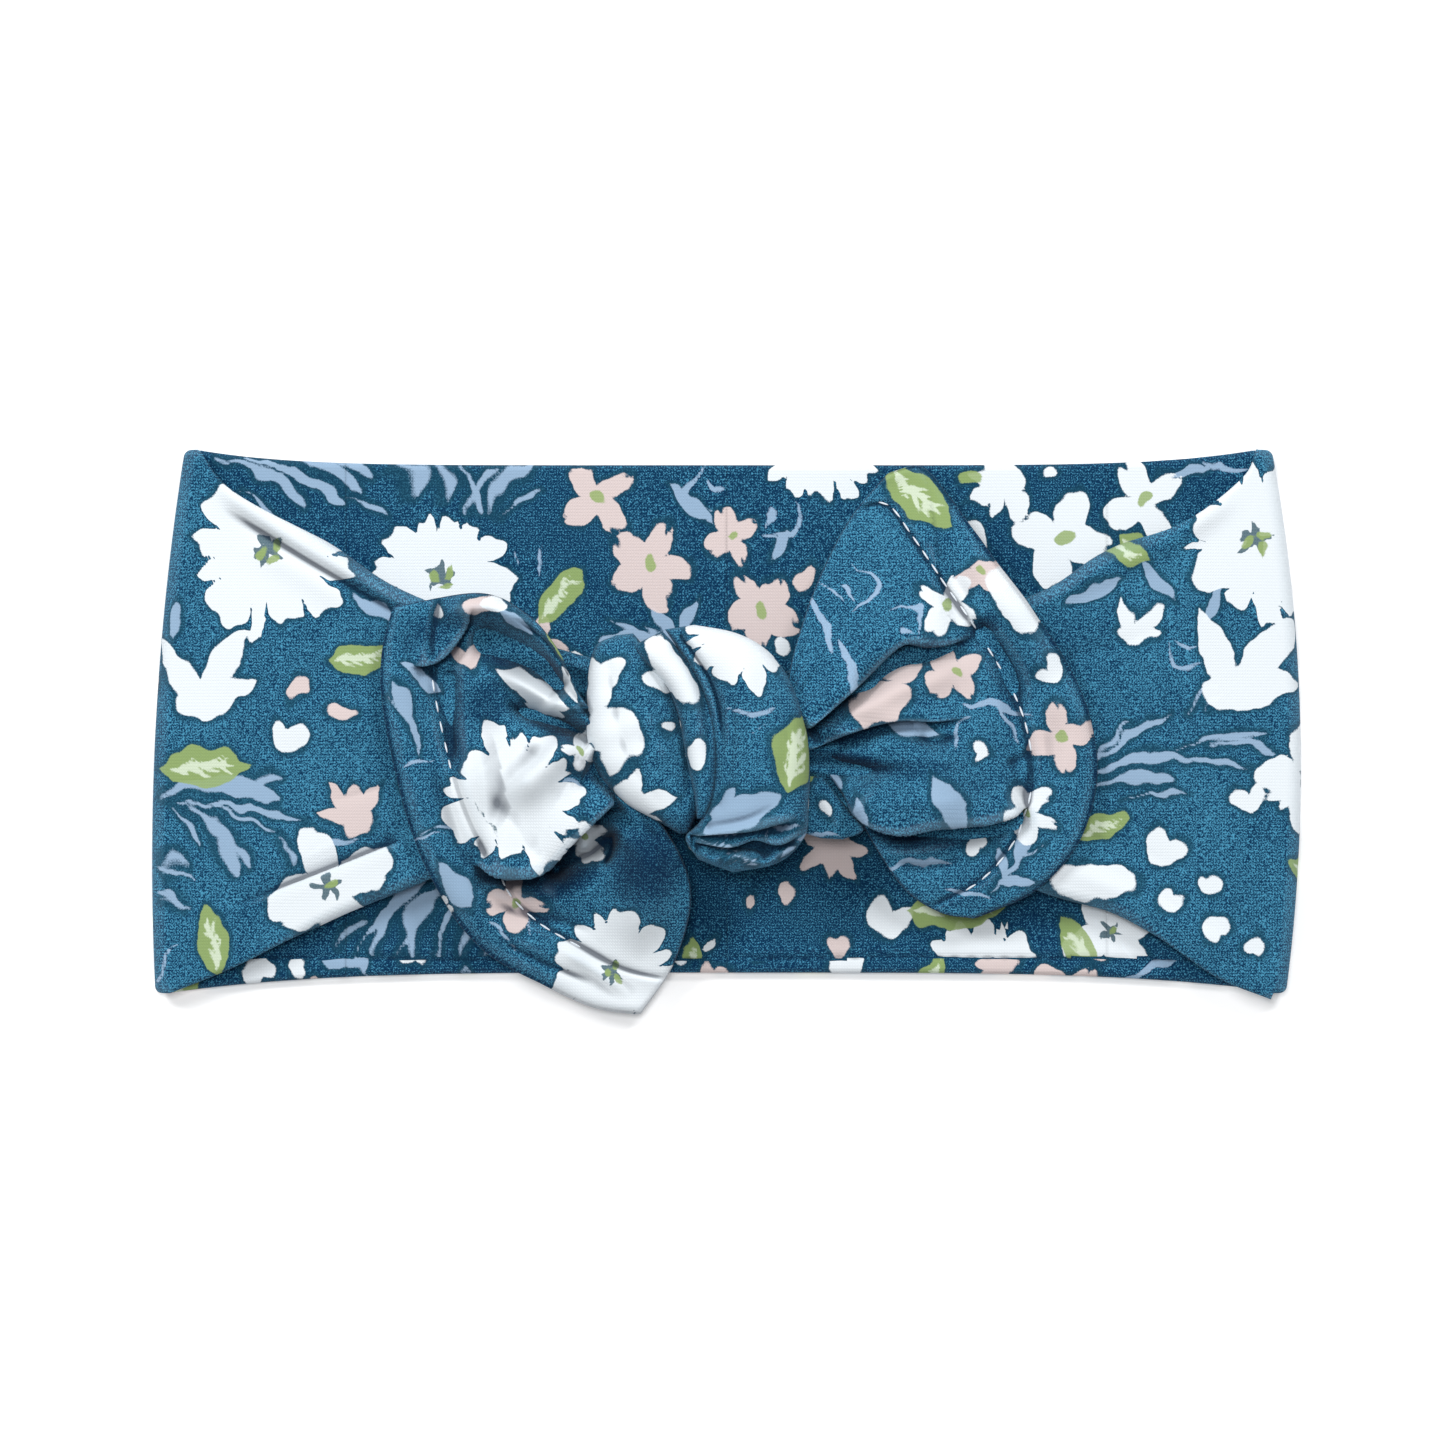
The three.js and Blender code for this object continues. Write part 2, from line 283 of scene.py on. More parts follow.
def blossom(a: np.ndarray, b: np.ndarray, seed: int, ink: Ink, petals: int) -> Inked:
    """A small open flower of notched petals round a green centre."""
    random = np.random.default_rng(seed)
    body = np.full(a.shape, -np.inf)
    for k in range(petals):
        turn = 360.0 * (k + 0.16 * random.random()) / petals
        reach = 0.46 + 0.14 * random.random()
        angle = np.radians(turn)
        place = (reach * np.cos(angle), reach * np.sin(angle))
        petal = oval(a, b, place, (0.42 + 0.08 * random.random(), 0.26 + 0.14 * random.random()), turn)
        lean = angle + 0.25 * random.uniform(-1.0, 1.0)
        notch = oval(a, b, (1.02 * np.cos(lean), 1.02 * np.sin(lean)), (0.2, 0.07), turn)
        body = np.maximum(body, np.minimum(petal, -notch))
    body = np.maximum(body, oval(a, b, (0.0, 0.0), (0.34, 0.3)))
    return [(ink, body), (Ink.GREEN, oval(a, b, (0.03, 0.02), (0.2, 0.14), 50.0 * seed))]


def cosmos(a: np.ndarray, b: np.ndarray, seed: int) -> Inked:
    """A white flower of four broad petals with a dark star of a centre."""
    inks = blossom(a, b, seed, Ink.WHITE, 4)[:1]
    angle, reach = np.arctan2(b, a), np.hypot(a, b)
    star = 0.14 + 0.09 * np.cos(5 * angle + seed)
    return [*inks, (Ink.CORE, star - reach), (Ink.GREEN, oval(a, b, (0.05, 0.03), (0.1, 0.06), 30.0))]


def bird(a: np.ndarray, b: np.ndarray, ink: Ink) -> Inked:
    """An open tulip seen from its side: a cup with three swept petals."""
    cup = oval(a, b, (0.05, -0.35), (0.62, 0.36), 8.0)
    left = blade(a, b, (-0.42, 0.22), (0.78, 0.26), 118.0)
    right = blade(a, b, (0.42, 0.28), (0.8, 0.3), 52.0)
    tip = blade(a, b, (0.55, -0.22), (0.52, 0.2), 12.0)
    return [(ink, np.maximum(np.maximum(cup, left), np.maximum(right, tip)))]


def tulip(a: np.ndarray, b: np.ndarray, ink: Ink) -> Inked:
    """A small flower of four narrow petals that fan out of one base."""
    body = oval(a, b, (0.0, -0.55), (0.4, 0.3))
    for turn, reach in ((148.0, 0.85), (108.0, 1.0), (72.0, 0.8), (34.0, 0.95)):
        angle = np.radians(turn)
        place = (0.5 * reach * np.cos(angle), 0.5 * reach * np.sin(angle) - 0.45)
        body = np.maximum(body, blade(a, b, place, (0.62 * reach, 0.2), turn))
    return [(ink, body)]


def heart(a: np.ndarray, b: np.ndarray, ink: Ink) -> Inked:
    """A loose two-lobed bud."""
    left = oval(a, b, (-0.3, 0.1), (0.72, 0.42), 118.0)
    right = oval(a, b, (0.32, 0.12), (0.7, 0.44), 62.0)
    return [(ink, np.maximum(left, right))]


def leaf(a: np.ndarray, b: np.ndarray, seed: int) -> Inked:
    """A green leaf with a feathered white vein."""
    veins = brush(a, b, [(-0.86, 0.0), (0.0, 0.05), (0.66, 0.02)], 0.065, 0.7)
    for k in range(4):
        foot = -0.62 + 0.28 * k
        side = 1.0 if (k + seed) % 2 else -1.0
        long, short = (foot + 0.42, 0.2 * side), (foot + 0.3, -0.15 * side)
        veins = np.maximum(veins, brush(a, b, [(foot, 0.0), (foot + 0.2, 0.12 * side), long], 0.045, 0.6))
        veins = np.maximum(veins, brush(a, b, [(foot, 0.0), (foot + 0.16, -0.08 * side), short], 0.04, 0.6))
    return [(Ink.GREEN, blade(a, b, (0.0, 0.0), (1.0, 0.42))), (Ink.VEIN, veins)]


def sprig(a: np.ndarray, b: np.ndarray, seed: int) -> Inked:
    """A fan of pale blue grass strokes that grow from one foot."""
    random = np.random.default_rng(seed)
    body = np.full(a.shape, -np.inf)
    for k, lift in enumerate((-0.78, -0.5, -0.26, -0.04, 0.16, 0.42)):
        reach = 0.62 + 0.38 * random.random()
        broad = 0.1 if k in (1, 3) else 0.035 + 0.02 * random.random()
        start = (-1.0 + 0.5 * random.random() * (k % 2), 0.12 * lift)
        end = (-1.0 + 2.0 * reach, lift + 0.1 * random.uniform(-1.0, 1.0))
        body = np.maximum(body, brush(a, b, [start, (-0.05, 0.02 * lift), end], broad, 1.7))
    return [(Ink.SKY, body)]


def fronds(a: np.ndarray, b: np.ndarray, seed: int) -> Inked:
    """Three pale blue leaves on one stem."""
    stem = brush(a, b, [(-1.0, -0.2), (0.0, 0.1), (0.9, 0.15)], 0.05)
    first = blade(a, b, (0.35, 0.38), (0.55, 0.17), 38.0)
    second = blade(a, b, (-0.25, -0.28), (0.5, 0.16), -32.0)
    third = blade(a, b, (-0.3, 0.3), (0.45, 0.14), 62.0 + seed)
    return [(Ink.SKY, np.maximum(np.maximum(stem, first), np.maximum(second, third)))]


def swirl(a: np.ndarray, b: np.ndarray) -> Inked:
    """Two thin pale hooks."""
    outer = brush(a, b, [(-0.7, -0.75), (1.3, -0.1), (-0.3, 0.9)], 0.085)
    inner = brush(a, b, [(-0.9, 0.3), (-0.5, 0.1), (-0.55, -0.4)], 0.085)
    return [(Ink.SKY, np.maximum(outer, inner))]


class Motif(Enum):
    """The shapes of the print."""

    DAISY = "daisy"
    BLOSSOM = "blossom"
    COSMOS = "cosmos"
    BIRD = "bird"
    TULIP = "tulip"
    HEART = "heart"
    LEAF = "leaf"
    SPRIG = "sprig"
    FRONDS = "fronds"
    BLADE = "blade"
    STROKE = "stroke"
    REED = "reed"
    SWIRL = "swirl"
    DROP = "drop"


@dataclass(frozen=True)
class Mark:
    """One motif on the cloth: its place, its half size, its turn in degrees and its ink.

    slim narrows or broadens it, and one that isn't cored has its first ink only.
    """

    motif: Motif
    x: float
    y: float
    size: float
    turn: float = 0.0
    ink: Ink = Ink.WHITE
    seed: int = 1
    slim: float = 1.0
    cored: bool = True

    def draw(self, a: np.ndarray, b: np.ndarray) -> Inked:
        """The inks of the motif over its own unit square."""
        shapes: dict[Motif, Callable[[], Inked]] = {
            Motif.DAISY: lambda: daisy(a, b, self.seed),
            Motif.BLOSSOM: lambda: blossom(a, b, self.seed, self.ink, 5 if self.seed % 2 else 4),
            Motif.COSMOS: lambda: cosmos(a, b, self.seed),
            Motif.BIRD: lambda: bird(a, b, self.ink),
            Motif.TULIP: lambda: tulip(a, b, self.ink),
            Motif.HEART: lambda: heart(a, b, self.ink),
            Motif.LEAF: lambda: leaf(a, b, self.seed),
            Motif.SPRIG: lambda: sprig(a, b, self.seed),
            Motif.FRONDS: lambda: fronds(a, b, self.seed),
            Motif.BLADE: lambda: [(self.ink, blade(a, b, (0.0, 0.0), (1.0, 0.26)))],
            Motif.STROKE: lambda: [(self.ink, brush(a, b, [(-1.0, -0.1), (0.1, 0.25), (1.0, -0.1)], 0.1))],
            Motif.REED: lambda: [(self.ink, brush(a, b, [(-1.0, 0.0), (0.0, 0.3), (1.0, 0.0)], 0.1, 1.9))],
            Motif.SWIRL: lambda: swirl(a, b),
            Motif.DROP: lambda: [(self.ink, oval(a, b, (0.0, 0.0), (1.0, 0.62)))],
        }
        return shapes[self.motif]()

    def inks(self, x: np.ndarray, y: np.ndarray) -> Inked:
        """Depths inside each ink of the motif, in millimetres, at places on the cloth."""
        along, across = turned(x, y, (self.x, self.y), self.turn)
        drawn = self.draw(along / self.size, across / (self.size * self.slim))
        if not self.cored:
            drawn = drawn[:1]
        return [(ink, depth * self.size * min(1.0, self.slim)) for ink, depth in drawn]


class Scatter:
    """Seeded filling of plain cloth with motifs of the same print."""

    KINDS = (
        (Motif.DAISY, 11.0, Ink.WHITE),
        (Motif.BIRD, 8.0, Ink.WHITE),
        (Motif.COSMOS, 8.5, Ink.WHITE),
        (Motif.BLOSSOM, 6.0, Ink.PINK),
        (Motif.BLOSSOM, 5.4, Ink.PINK),
        (Motif.BLOSSOM, 6.2, Ink.WHITE),
        (Motif.TULIP, 6.0, Ink.PINK),
        (Motif.LEAF, 6.0, Ink.GREEN),
        (Motif.LEAF, 5.4, Ink.GREEN),
        (Motif.SPRIG, 9.0, Ink.SKY),
        (Motif.FRONDS, 8.0, Ink.SKY),
        (Motif.HEART, 3.2, Ink.WHITE),
        (Motif.HEART, 2.4, Ink.PINK),
        (Motif.DROP, 1.7, Ink.WHITE),
        (Motif.STROKE, 6.0, Ink.SKY),
    )

    def __init__(self, low: Point, high: Point, seed: int, wrap: Optional[float] = None) -> None:
        """Fills a box, and repeats what is near its ends a wrap further on, if one is given."""
        random = np.random.default_rng(seed)
        self.marks: list[Mark] = []
        area = (high[0] - low[0]) * (high[1] - low[1])
        for trial in range(int(area / 7.0)):
            motif, size, ink = self.KINDS[random.integers(len(self.KINDS))]
            if trial > area / 14.0 and size > 7.0:
                continue
            size *= random.uniform(0.88, 1.1)
            x, y = random.uniform(low[0], high[0]), random.uniform(low[1], high[1])
            turn, mark_seed = random.uniform(0.0, 360.0), int(random.integers(1, 90))
            gaps = [np.hypot(m.x - x, m.y - y) - 0.88 * (m.size + size) for m in self.marks]
            if gaps and min(gaps) < 0.0:
                continue
            self.marks.append(Mark(motif, x, y, size, turn, ink, mark_seed))
        if wrap is not None:
            self.marks.extend([replace(m, x=m.x + k * wrap) for m in self.marks for k in (-1, 1)])


@dataclass
class Canvas:
    """A length of cloth in its own flat coordinates, with the motifs printed on it."""

    marks: list[Mark]

    def print_on(self, x: np.ndarray, y: np.ndarray) -> dict[Ink, np.ndarray]:
        """Depth inside each ink, in millimetres, at places on the cloth."""
        bare = -6.0  # stands for no ink within reach
        depths = {ink: np.full(x.shape, bare) for ink in Ink}
        # The edges wander a little, as a brush does.
        x, y = (
            x + 0.34 * ripple(x, y, 5.0, 61) + 0.1 * ripple(x, y, 2.0, 62),
            y + 0.34 * ripple(x, y, 5.0, 63) + 0.1 * ripple(x, y, 2.0, 64),
        )
        for mark in self.marks:
            reach = 1.35 * mark.size + 1.0
            near = (np.abs(x - mark.x) < reach) & (np.abs(y - mark.y) < reach)
            if not near.any():
                continue
            for ink, depth in mark.inks(x[near], y[near]):
                depths[ink][near] = np.maximum(depths[ink][near], depth)
                if mark.motif not in (Motif.SWIRL, Motif.STROKE) and ink in Ink.grounded():
                    depths[Ink.EDGE][near] = np.maximum(depths[Ink.EDGE][near], depth)
        return depths


def reeds(ink: Ink, *strokes: Sequence[float]) -> list[Mark]:
    """Long brush strokes, each given by its start and end in X and Y and its half width."""
    marks = []
    for start_x, start_y, end_x, end_y, half in strokes:
        size = 0.5 * float(np.hypot(end_x - start_x, end_y - start_y))
        turn = float(np.degrees(np.arctan2(end_y - start_y, end_x - start_x)))
        slim = half / (0.1 * size)
        middle_x, middle_y = 0.5 * (start_x + end_x), 0.5 * (start_y + end_y)
        marks.append(Mark(Motif.REED, middle_x, middle_y, size, turn, ink, slim=slim))
    return marks


def stamps(
    motif: Motif, ink: Ink, *places: Sequence[float], slim: float = 1.0, cored: bool = True
) -> list[Mark]:
    """Marks of one motif and ink, each given by its X, Y, half size, turn and, if wanted, its seed."""
    return [Mark(motif, *place[:4], ink, *place[4:], slim=slim, cored=cored) for place in places]


def both_sides(low: float, high: float) -> list[Mark]:
    """Plain filling for cloth that lies out of sight, on either side of the band."""
    return [
        *Scatter((low, -46.0), (high, 50.0), 11).marks,
        *Scatter((-high, -46.0), (-low, 50.0), 12).marks,
    ]


class Artwork:
    """The motifs of every face of the band, placed one by one where the face is on show."""

    TOP_FILL = (96.0, 180.0)  # cloth that continues under the side folds

    @staticmethod
    def inner_back() -> Canvas:
        """The inside of the back run, in plan."""
        p, w, g, s = Ink.PINK, Ink.WHITE, Ink.GREEN, Ink.SKY
        marks = [
            *reeds(
                s, (-80, 43.4, -66.4, 36.4, 1), (-76, 43.6, -60, 36, 0.9),
                (-70.4, 43.8, -57.6, 38.4, 1.2), (-64, 43.4, -55.6, 40.6, 0.8),
                (-60, 37.4, -53.6, 34.4, 0.4), (-52, 42.6, -48.6, 37.6, 1.5),
                (-46.6, 43, -43.8, 37.2, 1.1), (-42.4, 42.8, -38.8, 34.8, 0.5),
                (-41, 35, -36, 42.2, 0.6), (-37.6, 34.6, -30.4, 42.8, 1.3),
                (-35.6, 34, -29.2, 38.6, 0.4), (-76.6, 38.6, -70.8, 33.6, 0.4),
            ),
            *stamps(
                Motif.DAISY, w, (-44.8, 24.8, 12.4, 10, 5), (14.8, 45.6, 10.6, 20, 8),
                (39.6, -38, 10.2, 15, 12),
            ),
            *stamps(
                Motif.BLOSSOM, p, (-20.4, 37.4, 6.3, 30, 2), (-12, 26.8, 6.9, 62, 7),
                (0.8, 31.4, 4.6, 15, 4), (5.4, 19.6, 6.2, 40, 9),
            ),
            *stamps(
                Motif.DROP, p, (12.6, 24.8, 2.2, 60), (9.4, -24.6, 1.8, 100), (3.8, -26.2, 1.6, 70),
            ),
            *stamps(
                Motif.LEAF, g, (-26.3, 22, 5.6, 52, 1), (65.8, 29, 4.8, -30, 2),
                (36.5, -27, 8.5, 8, 3), (55.6, -33.6, 5.4, 118, 4), (-5.4, -35.4, 3.6, 100, 5),
            ),
            *stamps(
                Motif.STROKE, s, (-29.5, 27.5, 2.6, 80), (-33, 28.6, 2, 110),
                (79, 42.2, 4, 170), (66, -36, 5, 150),
            ),
            *stamps(Motif.SWIRL, s, (-4.8, 38.4, 4.4, 200), (9.6, 33, 4.6, -30)),
            *stamps(
                Motif.BLADE, s, (-5.6, 36.4, 4.6, -40), (8.4, 30, 2.6, 60), (-6, 18.6, 3.4, 65),
                (73, 41.6, 3.4, 15),
            ),
            *stamps(Motif.FRONDS, s, (-12.5, 16.2, 7.5, 150, 5)),
            *stamps(Motif.TULIP, w, (41.2, 39.6, 6.6, 100)),
            *stamps(Motif.DROP, g, (38.6, 40.6, 1.6, 10)),
            *stamps(
                Motif.DROP, w, (45.8, 36.2, 2.3, 75), (51, 41.4, 1.2, 20), (-2.6, -33, 1.5, 45),
            ),
            *stamps(Motif.BLOSSOM, w, (53.2, 30.8, 8.2, 65, 6), (65.8, 37, 6.9, 20, 4)),
            *stamps(Motif.HEART, w, (38.6, 32, 3, 170), (25.4, -29.6, 4.2, -25)),
            *reeds(
                s, (-58.6, -35, -49, -23, 0.6), (-55.6, -35, -47.6, -22.6, 1.2),
                (-52, -35, -46, -26, 0.5), (-49.6, -35, -45, -24.4, 1.5),
                (-45.6, -35, -42.4, -26.6, 0.5), (-42, -35, -37.4, -28, 0.9),
                (-38, -35, -32.4, -30, 0.6), (-61.6, -33.6, -57, -29.4, 0.5), (-35, -35, -28, -33, 0.4),
            ),
            *stamps(Motif.TULIP, p, (17.2, -19.6, 6.6, 190)),
            *stamps(Motif.HEART, p, (17.6, -33.6, 2.4, 10)),
            *stamps(Motif.COSMOS, w, (60.8, -31, 8.4, 20, 3)),
        ]
        unseen = Scatter((-60, -17), (64, 14), 21).marks
        return Canvas([*marks, *unseen, *both_sides(*Artwork.TOP_FILL)])

    @staticmethod
    def seam_strip() -> Canvas:
        """The narrow strip of another stretch of print below the long seam."""
        return Canvas(Scatter((-92.0, -44.0), (92.0, -33.0), 31).marks)

    @staticmethod
    def outer_loop() -> Canvas:
        """The outside of both wings in plan, and of the back beyond the side folds."""
        p, w, g, s = Ink.PINK, Ink.WHITE, Ink.GREEN, Ink.SKY
        left = [
            *stamps(Motif.DAISY, w, (-71.6, 28.6, 14.6, 5, 3)),
            *stamps(Motif.BIRD, w, (-82.4, 8.4, 8.2, 6)),
            *stamps(
                Motif.LEAF, g, (-82, -5, 7.6, 2, 1), (-57.2, 12, 5.6, 2, 2),
                (-80.6, -32.4, 5.8, 100, 3),
            ),
            *stamps(Motif.DROP, p, (-67.4, 7.4, 2.1, 60), (-60.6, 3.6, 2.2, -10)),
            *stamps(Motif.HEART, w, (-69, -0.8, 3.5, -12)),
            *stamps(Motif.TULIP, p, (-59.2, -10.6, 6.4, 22)),
            *reeds(
                s, (-89, -9.4, -70.2, -10.4, 1.5), (-76, -9.2, -69.6, -6.4, 0.55),
                (-88, -10.6, -66.6, -13.4, 0.55), (-84, -10.6, -70.6, -15.4, 0.35),
                (-84.6, -11.2, -77.4, -22, 1.3), (-87.6, -11.4, -82.6, -17.6, 0.4),
                (-79, -16.6, -74.6, -21.4, 0.6), (-88.6, -21.2, -85, -20, 0.9),
                (-88.8, -25.4, -85.4, -27.4, 0.4), (-70.6, -16.4, -68, -20.4, 0.4),
            ),
            *stamps(
                Motif.STROKE, s, (-86.4, -21.6, 3.4, -20), (-87, -25.6, 3, -30),
                (-62, -17.4, 4.6, 20), (-88.4, -36, 3.6, 60), (-81, 26, 2.6, 70),
                (-46.5, 3, 5, 95),
            ),
            *stamps(Motif.BLADE, s, (-86.4, 18.6, 3.4, 80), (-55.4, 20, 4, -32)),
            *stamps(Motif.COSMOS, w, (-62.4, -24, 10.6, 14, 5)),
            *stamps(Motif.BLOSSOM, p, (-46, -8, 6, 10, 5)),
        ]
        right = [
            *stamps(Motif.DAISY, w, (83.6, 30.4, 14.4, 20, 7)),
            *stamps(Motif.BIRD, w, (80.6, 10.6, 9.6, -6), (64.4, 17.4, 4.2, -10)),
            *stamps(Motif.LEAF, g, (62.6, 28.8, 4.4, -24, 2), (59, -14.4, 4.6, 20, 3)),
            *stamps(
                Motif.BLADE, s, (57.8, 22.6, 4.6, 24), (67.8, 24, 4, -46),
                (76.4, 20.4, 3.4, 60),
            ),
            *stamps(Motif.SWIRL, s, (71, 12, 3.6, 240)),
            *reeds(
                s, (56.6, -6.8, 71.6, -3.6, 1), (56.8, -5.6, 69.4, 3.2, 0.6), (58, -4.4, 63.6, 2.2, 0.4),
                (66, -4.4, 82.6, -5, 0.45), (70.6, -2.4, 84.6, 0.4, 0.5), (76, -1.4, 86.4, -3, 0.7),
                (57.6, -8.4, 70.6, -7.4, 0.9), (62, -10.4, 72.6, -9.2, 0.4), (72.4, 3.4, 77.4, 8, 0.4),
                (75.4, 3.8, 78, 6.6, 0.3),
            ),
            *stamps(Motif.DROP, w, (57.4, -22.8, 7, -3), slim=0.62),
            *stamps(
                Motif.HEART, w, (68.6, -18.4, 4, -24), (69.4, -26.2, 2.4, -40),
                (76, -23.8, 1.9, 10), (76.6, -29.8, 2.5, -150), (83.2, -32.8, 2.1, 160),
                (82.2, -10.4, 2.9, 20),
            ),
            *stamps(Motif.TULIP, w, (88.8, -10.8, 5, 160)),
            *stamps(Motif.BLOSSOM, w, (40, 0, 6, 0, 6)),
            *stamps(Motif.DROP, w, (66, -36.6, 2, 30)),
        ]
        back = Scatter((-268, -42), (-94, 46), 41, 360.0).marks
        return Canvas([*left, *right, *back])

    @staticmethod
    def left_tail() -> Canvas:
        """The upper face of the left tail, in plan."""
        p, w, g, s = Ink.PINK, Ink.WHITE, Ink.GREEN, Ink.SKY
        marks = [
            *stamps(Motif.DAISY, w, (-33, -9.6, 12.6, 40, 15), cored=False),
            *stamps(Motif.REED, Ink.CORE, (-38.6, -11.8, 1.7, -50), (-36.4, -14.6, 1.9, -56)),
            *stamps(Motif.HEART, p, (-40.2, 12, 3, 20)),
            *stamps(Motif.DROP, p, (-38.6, 20.2, 2.2, 10), (-53.4, -2.6, 1.6, 80)),
            *stamps(Motif.BLADE, w, (-30.4, 7.2, 6.8, -30), slim=1.15),
            *stamps(Motif.BLADE, w, (-28.6, 4, 3.4, -20), (-24.6, 8, 3.2, -62)),
            *stamps(Motif.REED, s, (-50.2, 1.4, 5.2, -62), (-44.8, -14.8, 3, 8)),
            *stamps(Motif.DROP, w, (-36, 20.4, 1.9, 0), (-45.4, 19.2, 1, 80)),
            *stamps(
                Motif.BLADE, s, (-47.6, 9, 4, -40), (-50.6, 5.6, 3.4, -70),
                (-33, 18, 3.6, -36),
            ),
            *stamps(
                Motif.STROKE, s, (-48.2, -4.4, 3, 10), (-46.6, -15.8, 2.4, 5),
                (-35, -31.4, 3.4, -50), (-31, -29.6, 2.2, 100),
            ),
            *stamps(Motif.BLADE, s, (-42.4, -23.6, 4.6, -58), slim=1.5),
            *stamps(Motif.HEART, w, (-44.4, -27, 2, -50)),
            *stamps(Motif.BLOSSOM, p, (-33.2, -26.4, 4.6, 80, 4)),
            *stamps(Motif.DAISY, w, (-17.6, -37.4, 11.6, 60, 19)),
            *stamps(Motif.BLOSSOM, w, (-22, -16.4, 3.8, 30, 3), (-22.6, -2.6, 3.4, 70, 8)),
            *stamps(Motif.LEAF, g, (-26, 14.6, 3.6, -60, 5)),
            *stamps(Motif.SWIRL, s, (-24, -8, 2.6, 110)),
        ]
        return Canvas(marks)

    @staticmethod
    def right_tail() -> Canvas:
        """The upper face of the right tail, in plan."""
        p, w, g, s = Ink.PINK, Ink.WHITE, Ink.GREEN, Ink.SKY
        marks = [
            *stamps(Motif.LEAF, g, (29.8, 37.6, 7.4, -42, 6)),
            *stamps(Motif.BLOSSOM, w, (34.4, 20.2, 5.4, 55, 8), (47, -12.2, 4.8, 40, 5)),
            *stamps(Motif.DROP, p, (37.6, 24.2, 2.6, 30), (41.2, 24.8, 3.4, -30)),
            *stamps(Motif.DROP, w, (44.8, 20.8, 5.8, -54), slim=0.7),
            *stamps(Motif.DROP, g, (40, 25.8, 1, -30), (21, 8, 1.3, 30)),
            *stamps(Motif.BLOSSOM, p, (35.8, 9.6, 4.9, 30, 6), (52.4, -0.6, 5.8, 100, 12)),
            *stamps(Motif.DROP, p, (24, 5.2, 5, 24), (27.4, 10.2, 3.4, 12), slim=0.9),
            *stamps(
                Motif.HEART, w, (51, 10, 2.8, 60), (40, -2.6, 2, 90),
                (39, -16.6, 2.4, 200),
            ),
            *stamps(Motif.FRONDS, s, (45.6, -20.6, 6, 30, 7)),
            *stamps(Motif.BLADE, s, (34.6, -10.4, 4.6, -58), (16.6, -6.6, 2.4, -60), slim=1.6),
            *stamps(Motif.SWIRL, s, (21.8, 23, 4.2, 10), (29, 18.6, 3.6, 60)),
            *stamps(
                Motif.STROKE, s, (14.6, 18, 5.4, -62), (18.6, 10.6, 4.6, -82),
                (16.8, 22.4, 2.4, -35), (42.4, 4.2, 5.4, -12), (44, 1.6, 3.2, -60),
                (36.4, 0.4, 3.2, 70), (30, -20, 5, 4), (38, -24.8, 3.6, -14),
            ),
            *stamps(Motif.BLADE, s, (29, 1.2, 4.6, -12), slim=1.3),
            *stamps(Motif.BLADE, s, (21.4, -11.4, 2.4, -60)),
        ]
        return Canvas(marks)

    @staticmethod
    def knot_left() -> Canvas:
        """The left turn and middle fold of the knot, in plan."""
        w = Ink.WHITE
        marks = [
            *stamps(Motif.HEART, w, (-19.2, 9.6, 4.4, 8), slim=0.75),
            *stamps(Motif.DROP, w, (-20, 6.6, 3.4, 80), slim=0.9),
            *stamps(Motif.HEART, w, (-17.4, 1.4, 6.2, 172), slim=0.86),
            *stamps(Motif.BLADE, w, (-17, -2.2, 4.4, 72), slim=2.2),
            *stamps(
                Motif.DROP, w, (-9, 1.1, 1.2, 20), (-15.2, -9.4, 3, -30),
                (-10.8, 8.4, 2.4, -40), (-4.6, -3, 2.3, 84),
            ),
            *stamps(Motif.BIRD, w, (-13.6, -10.2, 4.6, -38)),
            *stamps(Motif.DROP, w, (-8.6, 10.4, 6.4, -56), slim=0.6),
        ]
        return Canvas(marks)

    @staticmethod
    def knot_right() -> Canvas:
        """The front turn of the knot and its loose lip, in plan."""
        w, g, s = Ink.WHITE, Ink.GREEN, Ink.SKY
        marks = [
            *stamps(Motif.DAISY, w, (2.2, 16.4, 10.6, 30, 23), cored=False),
            *stamps(Motif.LEAF, g, (10.8, -2.8, 6.2, 80, 7), slim=1.5),
            *stamps(Motif.BLADE, s, (2.4, -12, 6.6, 28), slim=1.5),
            *stamps(Motif.BLADE, s, (-0.6, -10.6, 3.2, 52), slim=1.4),
            *stamps(
                Motif.STROKE, s, (3.8, 3.6, 3.6, 176), (5.6, 1.2, 2, 20), (15.2, -15.6, 2.8, -8),
            ),
            *reeds(
                s, (4.6, -16, 11.6, -14.4, 0.55), (-5.6, -16, -1.6, -18.6, 0.3),
                (-4.8, -15.6, 3.4, -14.6, 0.25), (-2.6, -19.2, 4.4, -20.2, 0.3),
                (8.6, -19.4, 11.8, -17, 0.4),
            ),
            *stamps(Motif.DROP, w, (15.4, -11.6, 1.2, -70)),
        ]
        return Canvas(marks)

    @staticmethod
    def spare() -> Canvas:
        """Plain filling for faces that lie out of sight."""
        return Canvas(Scatter((-62.0, -50.0), (62.0, 50.0), 51).marks)


# ---------------------------------------------------------------------------------------------
# Folds: what gathers, ledges and creases do to a sheet
# ---------------------------------------------------------------------------------------------


class Fold(Enum):
    """The ways in which cloth folds along a path."""

    RIDGE = "ridge"  # a rounded rise along the path
    CREASE = "crease"  # a sharp hollow along the path
    LEDGE = "ledge"  # a step whose high side, left of the path, hangs over the low side
    PILLOW = "pillow"  # a swelling round the path's middle


